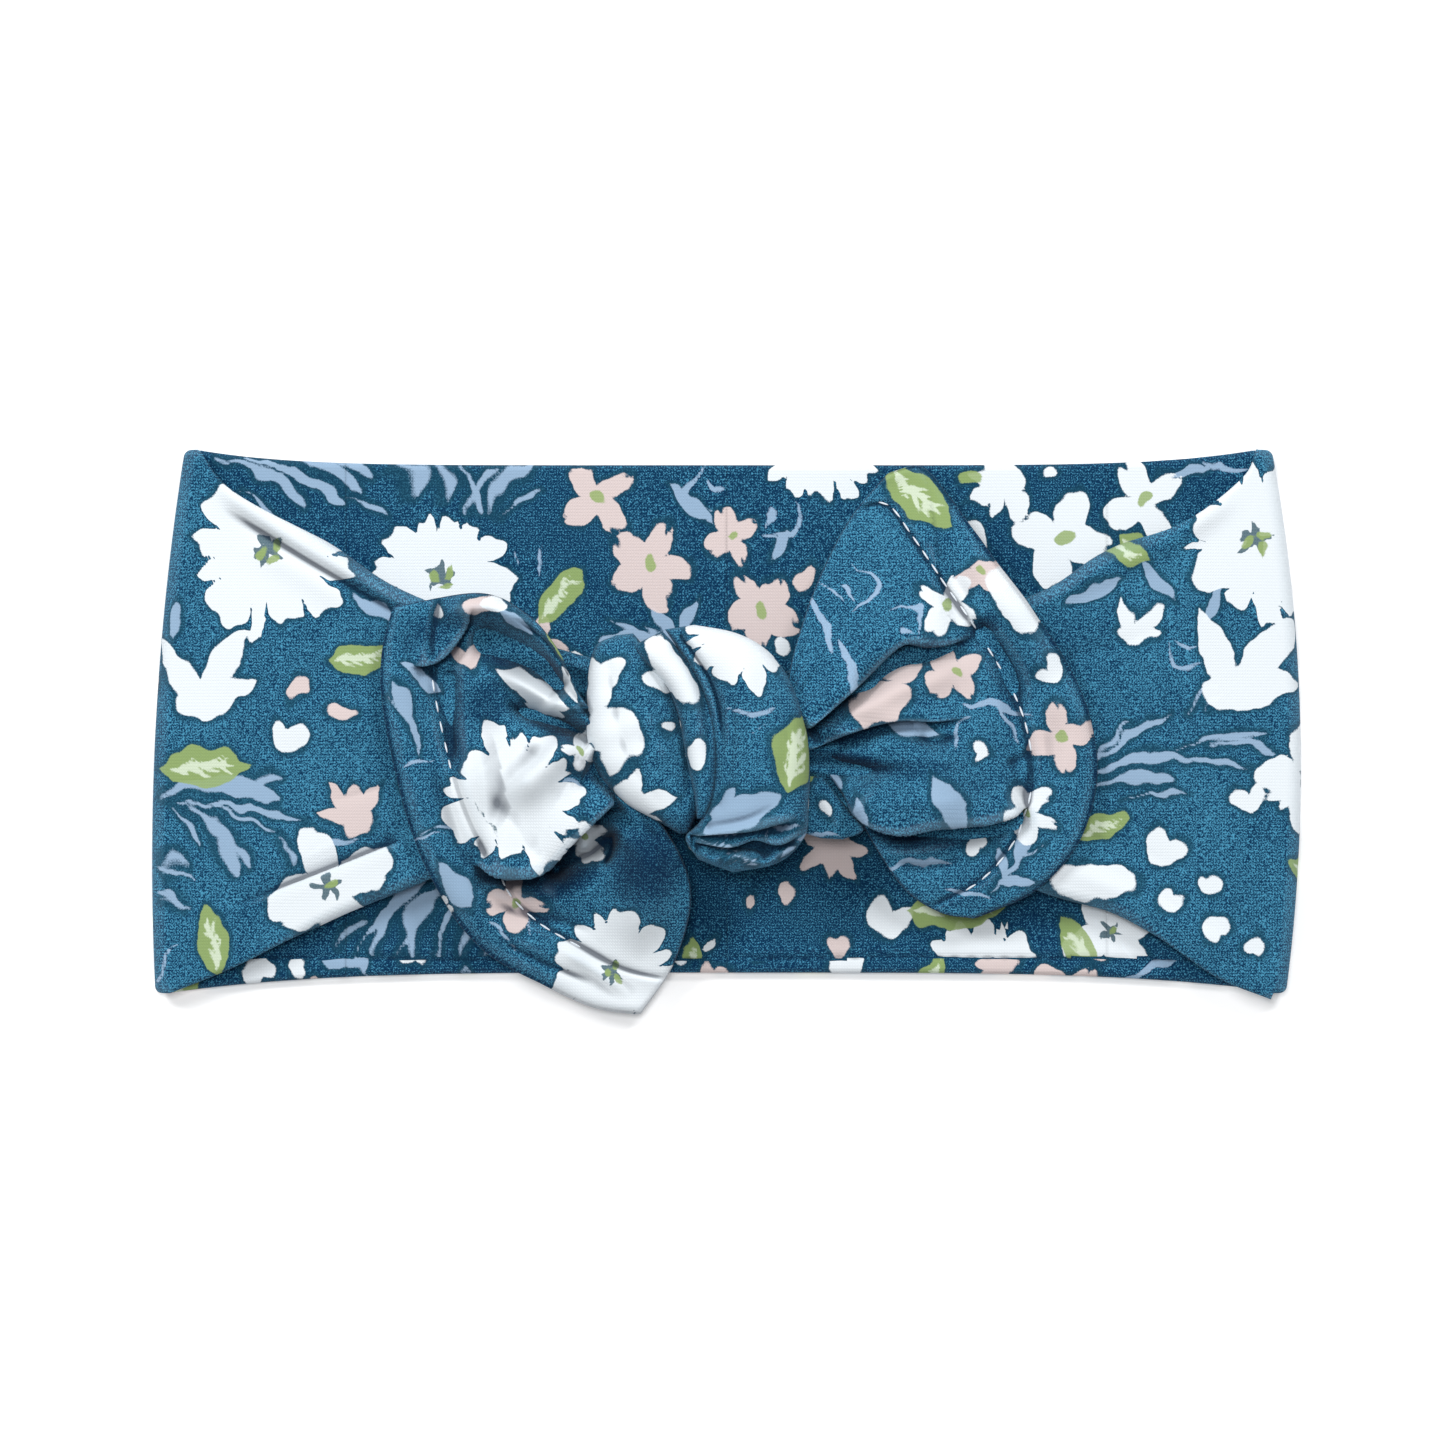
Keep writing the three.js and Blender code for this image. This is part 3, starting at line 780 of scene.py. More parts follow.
@dataclass(frozen=True)
class Crinkle:
    """One fold of a sheet, laid out in plan.

    Its height is in millimetres, near is its width on the left of the path and wide on the right,
    and lip is how far a ledge hangs over. fade gives the shares of the path over which it grows
    at its start and dies away at its end.
    """

    fold: Fold
    path: Path
    height: float
    near: float = 3.0
    wide: float = 3.0
    lip: float = 0.0
    fade: Point = (0.08, 0.25)

    def shape(self, x: np.ndarray, y: np.ndarray) -> tuple[np.ndarray, np.ndarray, np.ndarray]:
        """What the fold adds to X, Y and Z at points in plan."""
        signed, walked, left_x, left_y = nearest(self.path, x, y)
        strength = ease(-0.001, self.fade[0], walked) * (1.0 - ease(1.0 - self.fade[1], 1.001, walked))
        width = np.where(signed > 0.0, self.near, self.wide)
        still = np.zeros(x.shape)
        if self.fold is Fold.RIDGE:
            return still, still, self.height * strength * np.exp(-((signed / width) ** 2))
        if self.fold is Fold.CREASE:
            return still, still, -self.height * strength / (1.0 + (signed / width) ** 2)
        if self.fold is Fold.PILLOW:
            middle = Line(self.path).at(np.array(0.5))
            away = np.hypot(x - middle[0], y - middle[1])
            body = np.exp(-((signed / self.wide) ** 2)) * np.exp(-((away / self.near) ** 2))
            return still, still, self.height * body
        # A ledge: the high side is rounded off and the low side dips into a gutter.
        wall = 0.36  # half the width of the step itself
        high = ease(-wall, wall, signed)
        rolled = np.sqrt(1.0 - (1.0 - np.clip(signed / 2.0, 0.0, 1.0)) ** 2)
        upper = 0.62 * np.exp(-np.maximum(signed, 0.0) / self.near) * (0.35 + 0.65 * rolled) * high
        lower = 0.38 * np.exp(np.minimum(signed, 0.0) / self.wide) * (1.0 - high)
        gutter = 0.36 * np.exp(-(((signed + 1.2) / 1.4) ** 2)) * (1.0 - high)
        push = -self.lip * strength * (np.exp(-((signed / 1.5) ** 2)) * (high - 0.35))
        return left_x * push, left_y * push, self.height * strength * (upper - lower - gutter)


def crinkled(points: np.ndarray, folds: Sequence[Crinkle], amount: np.ndarray | float = 1.0) -> np.ndarray:
    """The points moved by folds, all measured in the plan that the points had before."""
    moved = points.copy()
    x, y = points[..., 0], points[..., 1]
    for fold in folds:
        for axis, shift in enumerate(fold.shape(x, y)):
            moved[..., axis] += shift * amount
    return moved


def neighbours(height: np.ndarray) -> list[np.ndarray]:
    """The height field moved one step each way, with its edges held."""
    padded = np.pad(height, 1, mode="edge")
    return [padded[:-2, 1:-1], padded[2:, 1:-1], padded[1:-1, :-2], padded[1:-1, 2:]]


def calmed(height: np.ndarray, rounds: int) -> np.ndarray:
    """A height field that stays under the given one, with its hollows spread and smoothed."""
    low = height.copy()
    for _ in range(rounds):
        low = np.minimum.reduce([low, *neighbours(low)])
    for _ in range(2 * rounds):
        low = (sum(neighbours(low)) + 4 * low) / 8.0
    return low


# ---------------------------------------------------------------------------------------------
# Meshes of cloth
# ---------------------------------------------------------------------------------------------


@dataclass
class Face:
    """One face of a sheet: a grid of points, its cloth coordinates, its print and its painted shade.

    inner is 1 on the tube's inner faces, whose ground gets painted shade, and the last field is how much
    painted shade a hollow or an edge gets.
    """

    points: np.ndarray
    cloth: np.ndarray
    inks: dict[Ink, np.ndarray]
    inner: float = 0.0
    dusk: np.ndarray | float = 0.0

    def tone(self, value: np.ndarray | float) -> np.ndarray:
        """A painted shade as one value for each point."""
        return np.broadcast_to(value, self.points.shape[:2])


def faced(points: np.ndarray, cloth: np.ndarray, canvas: Canvas) -> Face:
    """A face whose print is read off a canvas at its cloth coordinates."""
    return Face(points, cloth, canvas.print_on(cloth[..., 0], cloth[..., 1]))


def ring(upper: np.ndarray, lower: np.ndarray) -> np.ndarray:
    """Rows of points once round a sheet: along its upper face and back along its lower one."""
    return np.concatenate([upper, lower[:, -2:0:-1]], axis=1)


def proudness(points: np.ndarray, reach: int) -> np.ndarray:
    """How far each point stands out from the cloth round it, in millimetres.

    Args:
        points: rows of points once round the sheet.
        reach: how many points each way count as round it.

    Returns:
        More than 0 on ridges and edges, and less than 0 in hollows.
    """
    around = points
    for axis in (0, 1):
        pad = [(0, 0), (0, 0), (0, 0)]
        pad[axis] = (reach, reach)
        padded = np.pad(around, pad, mode="wrap" if axis == 1 else "edge")
        total = np.cumsum(padded, axis=axis)
        first = np.take(total, range(0, 1), axis=axis) * 0.0
        total = np.concatenate([first, total], axis=axis)
        span = 2 * reach + 1
        count = around.shape[axis]
        upper = np.take(total, range(span, span + count), axis=axis)
        around = (upper - np.take(total, range(count), axis=axis)) / span
    along = np.gradient(points, axis=0)
    across = np.roll(points, -1, axis=1) - np.roll(points, 1, axis=1)
    normal = np.cross(along, across)
    normal /= np.maximum(np.linalg.norm(normal, axis=-1, keepdims=True), 1e-9)
    return np.einsum("ijk,ijk->ij", points - around, normal)


def closed_faces(rows: int, around: int, columns: int) -> tuple[np.ndarray, list[list[int]]]:
    """The faces of a closed sheet whose rows of points go once round it.

    Args:
        rows: how many rows there are.
        around: how many points each row has.
        columns: how many of them lie on its upper face, side edges counted.

    Returns:
        Its four-cornered sides, as numbers of points, and the faces that close its two ends.
    """
    number = np.arange(rows * around).reshape(rows, around)
    ahead = np.roll(number, -1, axis=1)
    sides = np.stack([number[:-1], ahead[:-1], ahead[1:], number[1:]], axis=-1).reshape(-1, 4)
    over = np.arange(columns)
    under = np.concatenate([[0], np.arange(around - 1, columns - 1, -1), [columns - 1]])
    caps = []
    for row, turned in ((0, True), (rows - 1, False)):
        cap = np.stack([over[:-1], over[1:], under[1:], under[:-1]], axis=-1)[1:-1]
        corners = [(over[0], over[1], under[1]), (over[-2], over[-1], under[-2])]
        for corner in [*cap.tolist(), *corners]:
            numbers = [int(number[row, k]) for k in corner]
            caps.append(numbers[::-1] if turned else numbers)
    return sides, caps


def volume(points: np.ndarray, sides: np.ndarray) -> float:
    """Six times the volume inside four-cornered faces, less than 0 if they face inwards."""
    first, second, third, fourth = (points[sides[:, k]] for k in range(4))
    return float(np.sum(first * np.cross(second, third)) + np.sum(first * np.cross(third, fourth)))


def store(mesh: bpy.types.Mesh, name: str, values: np.ndarray) -> None:
    """Keeps one value for each point on the mesh."""
    attribute = mesh.attributes.new(name, "FLOAT", "POINT")
    attribute.data.foreach_set("value", values.ravel().astype(np.float32))


def mesh_of(
    name: str, upper: Face, lower: Face, material: bpy.types.Material, joined: bool = False
) -> bpy.types.Object:
    """Makes the closed mesh between two faces that share their side edges.

    Args:
        name: the piece's name.
        upper: the face on top, in rows.
        lower: the face under it, on the same grid.
        material: the cloth's material.
        joined: whether its first and last rows run on into another sheet.

    Returns:
        The new object, at the origin, with its inks and cloth coordinates as attributes.
    """
    points = ring(upper.points, lower.points)
    rows, around = points.shape[:2]
    columns = upper.points.shape[1]
    sides, caps = closed_faces(rows, around, columns)
    faces = [*sides.tolist(), *caps]
    flat_points = points.reshape(-1, 3)
    if volume(flat_points, sides) < 0.0:
        faces = [face[::-1] for face in faces]
    proud, sunk = proudness(points, 3), proudness(points, 9)
    if np.mean(proud[:, : columns // 16]) < 0.0:
        proud, sunk = -proud, -sunk
    mesh = bpy.data.meshes.new(name)
    mesh.from_pydata((flat_points * MM).tolist(), [], faces)
    smooth = np.ones(len(faces), bool)
    smooth[len(sides) :] = False
    if joined:
        strides = np.linalg.norm(np.diff(points, axis=0), axis=2).mean(axis=1)
        smooth[: len(sides)] = np.repeat(strides > 0.1, around)
        from_end = np.minimum(np.arange(rows), np.arange(rows)[::-1])
        inside = ease(3.0, 14.0, from_end)[:, None]
        proud, sunk = proud * inside, sunk * inside
    mesh.polygons.foreach_set("use_smooth", smooth)
    for ink in Ink:
        store(mesh, f"ink_{ink.value}", ring(upper.inks[ink], lower.inks[ink]))
    # How far each point stands out or sinks, for the pale of wear and painted highlight on ridges and the
    # painted shade in hollows.
    store(mesh, "proud", proud)
    store(mesh, "sunk", np.maximum(-sunk, 0.0))
    # The painted shade of the inner faces, and of marked hollows and edges.
    store(mesh, "inner", ring(upper.tone(upper.inner), lower.tone(lower.inner)))
    store(mesh, "dusk", ring(upper.tone(upper.dusk), lower.tone(lower.dusk)))
    cloth = ring(upper.cloth, lower.cloth).reshape(-1, 2)
    places = np.column_stack([cloth, flat_points[:, 2]]).astype(np.float32)
    mesh.attributes.new("cloth", "FLOAT_VECTOR", "POINT").data.foreach_set("vector", places.ravel())
    mesh.materials.append(material)
    mesh.validate()
    mesh.update()
    piece = bpy.data.objects.new(name, mesh)
    bpy.context.collection.objects.link(piece)
    return piece


def grown(face: Face, rows: np.ndarray) -> Face:
    """The face with rows of points added at its end, printed like its last row."""
    count = rows.shape[0]

    def repeated(values: np.ndarray) -> np.ndarray:
        """Values with their last row added again for each new row."""
        return np.concatenate([values, np.repeat(values[-1:], count, axis=0)])

    return Face(
        np.concatenate([face.points, rows]),
        repeated(face.cloth),
        {ink: repeated(depth) for ink, depth in face.inks.items()},
    )


def wrapped(points: np.ndarray) -> np.ndarray:
    """Cloth coordinates over a swelling, which follow its plan but run on down its steep sides."""
    plan = points[..., :2]
    cloth = plan.copy()
    for axis in (0, 1):
        step = np.diff(plan, axis=axis)
        flat = np.linalg.norm(step, axis=-1)
        extra = np.maximum(np.abs(np.diff(points[..., 2], axis=axis)) - 1.5 * flat, 0.0)
        run = np.cumsum(step / np.maximum(flat, 1e-6)[..., None] * extra[..., None], axis=axis)
        run = np.concatenate([np.take(run, [0], axis=axis) * 0.0, run], axis=axis)
        cloth += run - np.take(run, [run.shape[axis] // 2], axis=axis)
    return cloth


def edged(count: int, length: float, rim: float = 1.0) -> np.ndarray:
    """Shares from 0 to 1 across a sheet, close together within a rim of its two side edges."""
    bend = rim / length
    angle = np.linspace(0.0, np.pi / 2, 7)
    near = bend * (1.0 - np.cos(angle))
    middle = np.linspace(bend, 1.0 - bend, count)[1:-1]
    return np.concatenate([near, middle, 1.0 - near[::-1]])


def rounding(share: np.ndarray, length: float, rim: float = 1.0) -> np.ndarray:
    """How full a sheet is across its width: 0 at its side edges, and 1 a rim inside them."""
    inside = np.minimum(share, 1.0 - share) * length / rim
    return np.sqrt(np.clip(1.0 - (1.0 - np.minimum(inside, 1.0)) ** 2, 0.0, 1.0))


# ---------------------------------------------------------------------------------------------
# Finishes
# ---------------------------------------------------------------------------------------------


class Signal:
    """A shader socket that takes part in Python arithmetic."""

    def __init__(self, dye: "Dye", socket: bpy.types.NodeSocket) -> None:
        """Wraps an output socket of a node in the dye's tree."""
        self.dye = dye
        self.socket = socket

    def _with(self, operation: str, other: "Signal | float", turned: bool = False) -> "Signal":
        """A Math node on this signal and another value, in either order."""
        pair = (other, self) if turned else (self, other)
        return self.dye.maths(operation, *pair)

    def __add__(self, other: "Signal | float") -> "Signal":
        """The sum."""
        return self._with("ADD", other)

    __radd__ = __add__

    def __mul__(self, other: "Signal | float") -> "Signal":
        """The product."""
        return self._with("MULTIPLY", other)

    __rmul__ = __mul__

    def __sub__(self, other: "Signal | float") -> "Signal":
        """The difference."""
        return self._with("SUBTRACT", other)

    def __rsub__(self, other: "Signal | float") -> "Signal":
        """The difference, the other way round."""
        return self._with("SUBTRACT", other, turned=True)

    def __truediv__(self, other: "Signal | float") -> "Signal":
        """The quotient."""
        return self._with("DIVIDE", other)

    def clamped(self) -> "Signal":
        """The signal held between 0 and 1."""
        return self.dye.maths("MINIMUM", self.dye.maths("MAXIMUM", self, 0.0), 1.0)


class Dye:
    """Builds one material's node tree."""

    def __init__(self, name: str) -> None:
        """Starts an empty material with an output."""
        self.material = bpy.data.materials.new(name)
        self.material.use_nodes = True
        self.tree = self.material.node_tree
        self.tree.nodes.clear()

    def node(self, kind: str, settings: dict, sockets: dict) -> bpy.types.Node:
        """Adds a node, sets it up, and fills or links its sockets."""
        made = self.tree.nodes.new(kind)
        for key, value in settings.items():
            setattr(made, key, value)
        for key, value in sockets.items():
            if isinstance(value, Signal):
                self.tree.links.new(value.socket, made.inputs[key])
            elif value is not None:
                made.inputs[key].default_value = value
        return made

    def maths(self, operation: str, *values: "Signal | float") -> Signal:
        """A Math node."""
        made = self.node("ShaderNodeMath", {"operation": operation}, dict(enumerate(values)))
        return Signal(self, made.outputs[0])

    def attribute(self, name: str, output: str = "Fac") -> Signal:
        """A value stored on the mesh."""
        made = self.node("ShaderNodeAttribute", {"attribute_name": name}, {})
        return Signal(self, made.outputs[output])

    def mix(self, share: "Signal | float", start: "Signal | tuple", end: "Signal | tuple") -> Signal:
        """A colour between two colours."""
        made = self.node("ShaderNodeMix", {"data_type": "RGBA"}, {0: share, 6: start, 7: end})
        return Signal(self, made.outputs[2])

    def noise(self, place: Signal, scale: float, detail: float = 2.0) -> Signal:
        """Cloudy noise from about 0 to 1."""
        made = self.node("ShaderNodeTexNoise", {}, {"Vector": place, "Scale": scale, "Detail": detail})
        return Signal(self, made.outputs["Fac"])

    def finish(self, sockets: dict) -> bpy.types.Material:
        """Ends the tree in a Principled shader with these sockets."""
        shader = self.node("ShaderNodeBsdfPrincipled", {}, sockets)
        output = self.tree.nodes.new("ShaderNodeOutputMaterial")
        self.tree.links.new(shader.outputs[0], output.inputs["Surface"])
        return self.material


def tint(red: float, green: float, blue: float) -> tuple[float, float, float, float]:
    """A colour given as it looks on a screen, from 0 to 255, as the shader needs it."""
    screen = np.array([red, green, blue]) / 255.0
    linear = np.where(screen <= 0.04045, screen / 12.92, ((screen + 0.055) / 1.055) ** 2.4)
    return (*(float(v) for v in linear), 1.0)


@dataclass(frozen=True)
class PrintedJersey:
    """Brushed cotton jersey with its printed flowers."""

    name: str = "printed_jersey"
    ground: tuple = tint(72, 144, 176)
    ground_deep: tuple = tint(0, 44, 76)
    edge: tuple = tint(18, 62, 82)
    sky: tuple = tint(152, 178, 204)
    pink: tuple = tint(212, 196, 193)
    white: tuple = tint(226, 232, 236)
    core: tuple = tint(28, 74, 88)
    green: tuple = tint(140, 162, 100)
    vein: tuple = tint(222, 232, 216)
    # The pale of worn ridges, which is also their painted highlight.
    worn_and_highlit: tuple = tint(150, 184, 206)
    shaded: tuple = tint(4, 26, 50)
    wear_and_highlight: float = 3.0  # how soon a ridge turns pale, as wear and painted highlight, for each millimetre that it stands proud
    wale: float = 0.5  # width of one column of loops
    course: float = 0.42  # height of one loop
    soft: float = 0.16  # width over which a printed edge blurs

    def material(self) -> bpy.types.Material:
        """Builds the material from the cloth coordinates and the inks on the mesh."""
        dye = Dye(self.name)
        cloth = dye.attribute("cloth", "Vector")
        split = dye.node("ShaderNodeSeparateXYZ", {}, {0: cloth})
        along, across = Signal(dye, split.outputs[0]), Signal(dye, split.outputs[1])
        # The knit: columns of loops, with a wave along each.
        column = dye.maths("ABSOLUTE", dye.maths("FRACT", across / self.wale) - 0.5)
        wave = dye.maths("COSINE", (along / self.course + column * 1.4) * (2.0 * np.pi))
        loops = (1.0 - column * column * 3.2) * (0.62 + 0.38 * wave)
        # The heathered ground, darkened by painted shade on the tube's inner faces, in marked hollows and
        # along edges.
        fuzz = dye.noise(cloth, 4.6, 2.0)
        cloud = dye.noise(cloth, 0.09, 2.0)
        jitter = (fuzz - 0.5) * 0.5 + (loops - 0.5) * 0.12
        halo = ((dye.attribute(f"ink_{Ink.EDGE.value}") + 0.85) / 0.5).clamped()
        grain = (fuzz - 0.5) * 5.0 + (loops - 0.5) * 0.8 + (cloud - 0.5) * 0.5
        dusk = dye.attribute("dusk")
        speckle = (grain + 0.34 - dye.attribute("inner") * 0.32 - dusk * 0.5).clamped()
        colour = dye.mix(speckle, self.ground_deep, self.ground)
        colour = dye.mix(halo * 0.72, colour, self.edge)
        # Each ink, with how well it covers.
        shades = {
            Ink.SKY: (self.sky, 0.86),
            Ink.PINK: (self.pink, 0.97),
            Ink.WHITE: (self.white, 0.98),
            Ink.CORE: (self.core, 0.92),
            Ink.GREEN: (self.green, 0.95),
            Ink.VEIN: (self.vein, 0.66),
        }
        shade = 0.9 + 0.1 * loops
        for ink, (pigment, cover) in shades.items():
            colour = dye.mix(self.mask(dye, ink, jitter) * (shade * cover), colour, pigment)
        # Pale on ridges, partly wear and partly painted highlight, and painted shade in hollows, in marked
        # hollows and along edges.
        proud = dye.attribute("proud")
        # How deep a point sits in a hollow, which sets its painted shade.
        hollow = ((0.0 - proud) * 3.0 + dye.attribute("sunk") * 0.45 - 0.14).clamped()
        colour = dye.mix(((proud - 0.12) * self.wear_and_highlight).clamped() * 0.16, colour, self.worn_and_highlit)
        colour = dye.mix(hollow * 0.78, colour, self.shaded)
        colour = dye.mix((dusk * 0.46).clamped(), colour, self.shaded)
        height = loops + (fuzz - 0.5) * 0.5
        bump = dye.node("ShaderNodeBump", {}, {"Strength": 0.35, "Distance": 0.00016, "Height": height})
        return dye.finish(
            {
                "Base Color": colour,
                "Roughness": 0.94,
                "Specular IOR Level": 0.12,
                "Sheen Weight": 0.05,
                "Sheen Roughness": 0.5,
                "Normal": Signal(dye, bump.outputs[0]),
            }
        )

    def mask(self, dye: Dye, ink: Ink, jitter: Signal) -> Signal:
        """How much of an ink shows: 1 inside its shapes and 0 past their fuzzy edges."""
        depth = dye.attribute(f"ink_{ink.value}") + jitter * 0.45
        return (depth / self.soft + 0.5).clamped()


@dataclass(frozen=True)
class Thread:
    """Off-white sewing thread with a twisted lie."""

    name: str = "sewing_thread"
    light: tuple = tint(236, 240, 244)
    dark: tuple = tint(176, 188, 200)

    def material(self) -> bpy.types.Material:
        """Builds the material, with its twist on the object's own coordinates."""
        dye = Dye(self.name)
        place = Signal(dye, dye.node("ShaderNodeTexCoord", {}, {}).outputs["Object"])
        twist = dye.noise(place, 5200.0, 1.0)
        colour = dye.mix((twist * 1.6 - 0.3).clamped(), self.dark, self.light)
        bump = dye.node("ShaderNodeBump", {}, {"Strength": 0.4, "Distance": 0.00005, "Height": twist})
        sockets = {"Base Color": colour, "Roughness": 0.6, "Normal": Signal(dye, bump.outputs[0])}
        return dye.finish(sockets)


@dataclass(frozen=True)
class Paper:
    """The plain pale surface under the band."""

    name: str = "pale_surface"

    def material(self) -> bpy.types.Material:
        """Builds a plain matt white."""
        dye = Dye(self.name)
        sockets = {"Base Color": (0.9, 0.9, 0.9, 1.0), "Roughness": 0.95, "Specular IOR Level": 0.0}
        return dye.finish({**sockets, "Emission Color": (1.0, 1.0, 1.0, 1.0), "Emission Strength": 0.16})


# ---------------------------------------------------------------------------------------------
# The loop: back run, side folds and wings
# ---------------------------------------------------------------------------------------------


@dataclass
class Side:
    """One half of the loop, from the centre of the back round its side fold to the knot."""

    name: str
    sign: float
    half_band: float
    crown_edge: Line
    chin_edge: Line
    folds: list[Crinkle]
    bow: float  # how far the fold line bows in at the corners
    bow_centre: float
    bow_reach: float
    depth: float = 2.45  # outside radius of the side fold

    def fold_line(self, y: np.ndarray) -> np.ndarray:
        """X of the centre of the side fold's bend."""
        bowed = self.half_band - self.bow * ((y - self.bow_centre) / self.bow_reach) ** 2
        return self.sign * (bowed - self.depth)


def pivot_of(body: str) -> Sequence[float]:
    """Where the frame's joint that carries a body has its pivot, in metres."""
    return next(joint for joint in frame["joints"] if joint["child"] == body)["pos_m"]


@dataclass
class LoopCloth:
    """The band's back run, side folds and wings, as four sheets of double jersey."""

    cloth: bpy.types.Material
    bounds: tuple
    pitch: float = 0.47  # grid spacing
    back_thickness: float = 2.1
    wing_thickness: float = 1.8
    wing_lift: float = 4.25  # middle of the wing at its side fold
    wing_rise: float = 5.3  # how far it climbs to the knot
    join: float = 60.0  # where the back run's sheet meets the side sheet
    roll: float = 1.15  # radius of the wings' rolled edges
    tucked: float = 5.6  # cloth rolled under each edge of a wing at the knot
    seam_y: float = -35.2  # Y of the long seam
    corner_x: float = 85.4  # X at which the upper edge reaches the frame's box
    crown_y: float = 42.6  # Y of the upper edge at the centre of the back
    chin_y: float = -37.5  # Y of the lower edge there
    chin_bow: float = 3.6  # how much lower that edge is at the side folds
    fold_ends: Point = (87.5, 82.95)  # X of the side fold's lower and upper ends
    back_run: float = 84.0  # length of cloth from the centre of the back to the side fold
    fold_run: float = 8.0  # length of cloth round the side fold
    wing_run: float = 77.0  # length of a wing
    tube_width: float = 83.0  # of the flat tube
    columns: int = 176  # of points across a sheet
    bend_rows: int = 15  # of points round the side fold
    longest_edge: float = 80.0  # of a wing, which sets its count of rows
    gathers: float = 0.75  # height of the pleats next to the knot
    slack: float = 0.16  # unevenness of the wings
    print_step: float = 12.0  # by which the inner print moves on at the side fold

    def __post_init__(self) -> None:
        """Works the two sides out of the frame's box."""
        self.half_band = (self.bounds[1][0] - self.bounds[0][0]) / MM / 2.0
        self.crest = self.bounds[1][1] / MM
        self.width = self.crest - self.chin_y
        self.inner = Artwork.inner_back()
        self.strip = Artwork.seam_strip()
        self.outer = Artwork.outer_loop()
        left = Side(
            "left",
            -1.0,
            self.half_band - 0.2,
            Line([(-82.9, 44.7), (-78.4, 38.9), (-67.4, 32.4), (-61, 28.4), (-51.6, 22.3), (-36, 16),
                  (-24, 12), (-11, 9)]),
            Line([(-87.5, -40.6), (-76, -35.8), (-62.6, -28.5), (-49.2, -22.9), (-36, -17.4), (-24, -12.6),
                  (-11, -9)]),
            [
                Crinkle(Fold.RIDGE, [(-83, 41.5), (-72, 33.4), (-58, 24.9), (-40, 15.4)],
                        1.3, 2.0, 1.6, fade=(0.2, 0.3)),
                Crinkle(Fold.CREASE, [(-80, 36.6), (-70, 30.2), (-60, 24.2), (-46, 16)],
                        1.0, 0.5, 0.8, fade=(0.25, 0.3)),
                Crinkle(Fold.RIDGE, [(-77, 31.5), (-66, 25.2), (-50, 15.4)], 0.5, 1.6, 2.4, fade=(0.3, 0.3)),
                Crinkle(Fold.LEDGE, [(-50, -16.2), (-62.6, -21.3), (-74, -25.8), (-80, -28.4)],
                        1.5, 5.0, 2.2, 0.5, (0.1, 0.45)),
                Crinkle(Fold.RIDGE, [(-52, 3), (-66, 2), (-80, 3.5)], 0.5, 4.0, 4.0, fade=(0.2, 0.6)),
                Crinkle(Fold.CREASE, [(-47, -6), (-58, -9), (-70, -12)], 0.5, 1.2, 1.8, fade=(0.1, 0.7)),
            ],
            bow=5.0,
            bow_centre=-20.0,
            bow_reach=64.0,
        )
        right = Side(
            "right",
            1.0,
            self.half_band - 0.2,
            Line([(83.4, 45), (81.1, 40.4), (71.7, 33.3), (59, 27.8), (49.5, 21.8), (34, 16), (22, 12),
                  (9, 9)]),
            Line([(86.2, -41.6), (77.2, -37.9), (66.9, -30.6), (60.6, -27), (49.5, -23.8), (34, -17),
                  (22, -12.6), (9, -9)]),
            [
                Crinkle(Fold.RIDGE, [(82, 39), (70, 30.8), (56, 24.4), (42, 17)],
                        0.8, 1.8, 2.0, fade=(0.2, 0.4)),
                Crinkle(Fold.RIDGE, [(84, -36.5), (74, -31.5), (62, -24.5), (44, -18)],
                        0.7, 2.2, 1.8, fade=(0.25, 0.4)),
                Crinkle(Fold.CREASE, [(52, 12), (62, 14.5), (72, 18.5)], 0.45, 1.4, 2.0, fade=(0.1, 0.7)),
                Crinkle(Fold.RIDGE, [(52, -4), (64, -6), (78, -9.5)], 0.5, 4.0, 4.0, fade=(0.1, 0.7)),
                Crinkle(Fold.CREASE, [(54, -14.5), (64, -18), (74, -22)], 0.4, 1.2, 2.0, fade=(0.1, 0.7)),
            ],
            bow=4.6,
            bow_centre=-5.0,
            bow_reach=50.0,
        )
        self.sides = [left, right]

    def crown(self, x: np.ndarray) -> np.ndarray:
        """Y of the back run's upper edge."""
        return self.crown_y + (self.crest - self.crown_y) * (x / self.corner_x) ** 6

    def chin(self, x: np.ndarray) -> np.ndarray:
        """Y of the back run's lower edge."""
        return self.chin_y - self.chin_bow * (x / self.half_band) ** 4

    def inner_relief(self, x: np.ndarray, y: np.ndarray) -> np.ndarray:
        """The puckered line of the long seam and the slack of the cloth, on the back's inner face."""
        off = y - self.seam_y - 0.25 * np.sin(x / 17.0)
        seam = -0.3 * np.exp(-((off / 0.3) ** 2)) + 0.16 * np.exp(-(((off - 1.1) / 0.8) ** 2))
        pucker = 0.05 * np.sin(x * 2.4) * np.exp(-((off / 1.4) ** 2))
        return seam + pucker + 0.1 * ripple(x, y, 34.0, 3)

    def outer_place(self, side: Side, x: np.ndarray, y: np.ndarray) -> np.ndarray:
        """Cloth coordinate along the outside of the back run, counted on from the wing's."""
        return 2.0 * side.fold_line(y) + side.sign * np.pi * side.depth - x

    def inner_face(self, points: np.ndarray, cloth: np.ndarray) -> Face:
        """The inner face, whose print breaks at the long seam."""
        face = faced(points, cloth, self.inner)
        strip = self.strip.print_on(cloth[..., 0], cloth[..., 1])
        below = (points[..., 1] < self.seam_y) & (np.abs(cloth[..., 0]) < self.half_band)
        for ink in Ink:
            face.inks[ink] = np.where(below, strip[ink], face.inks[ink])
        # The inner faces get painted shade that deepens their ground.
        face.inner = 1.0
        return face

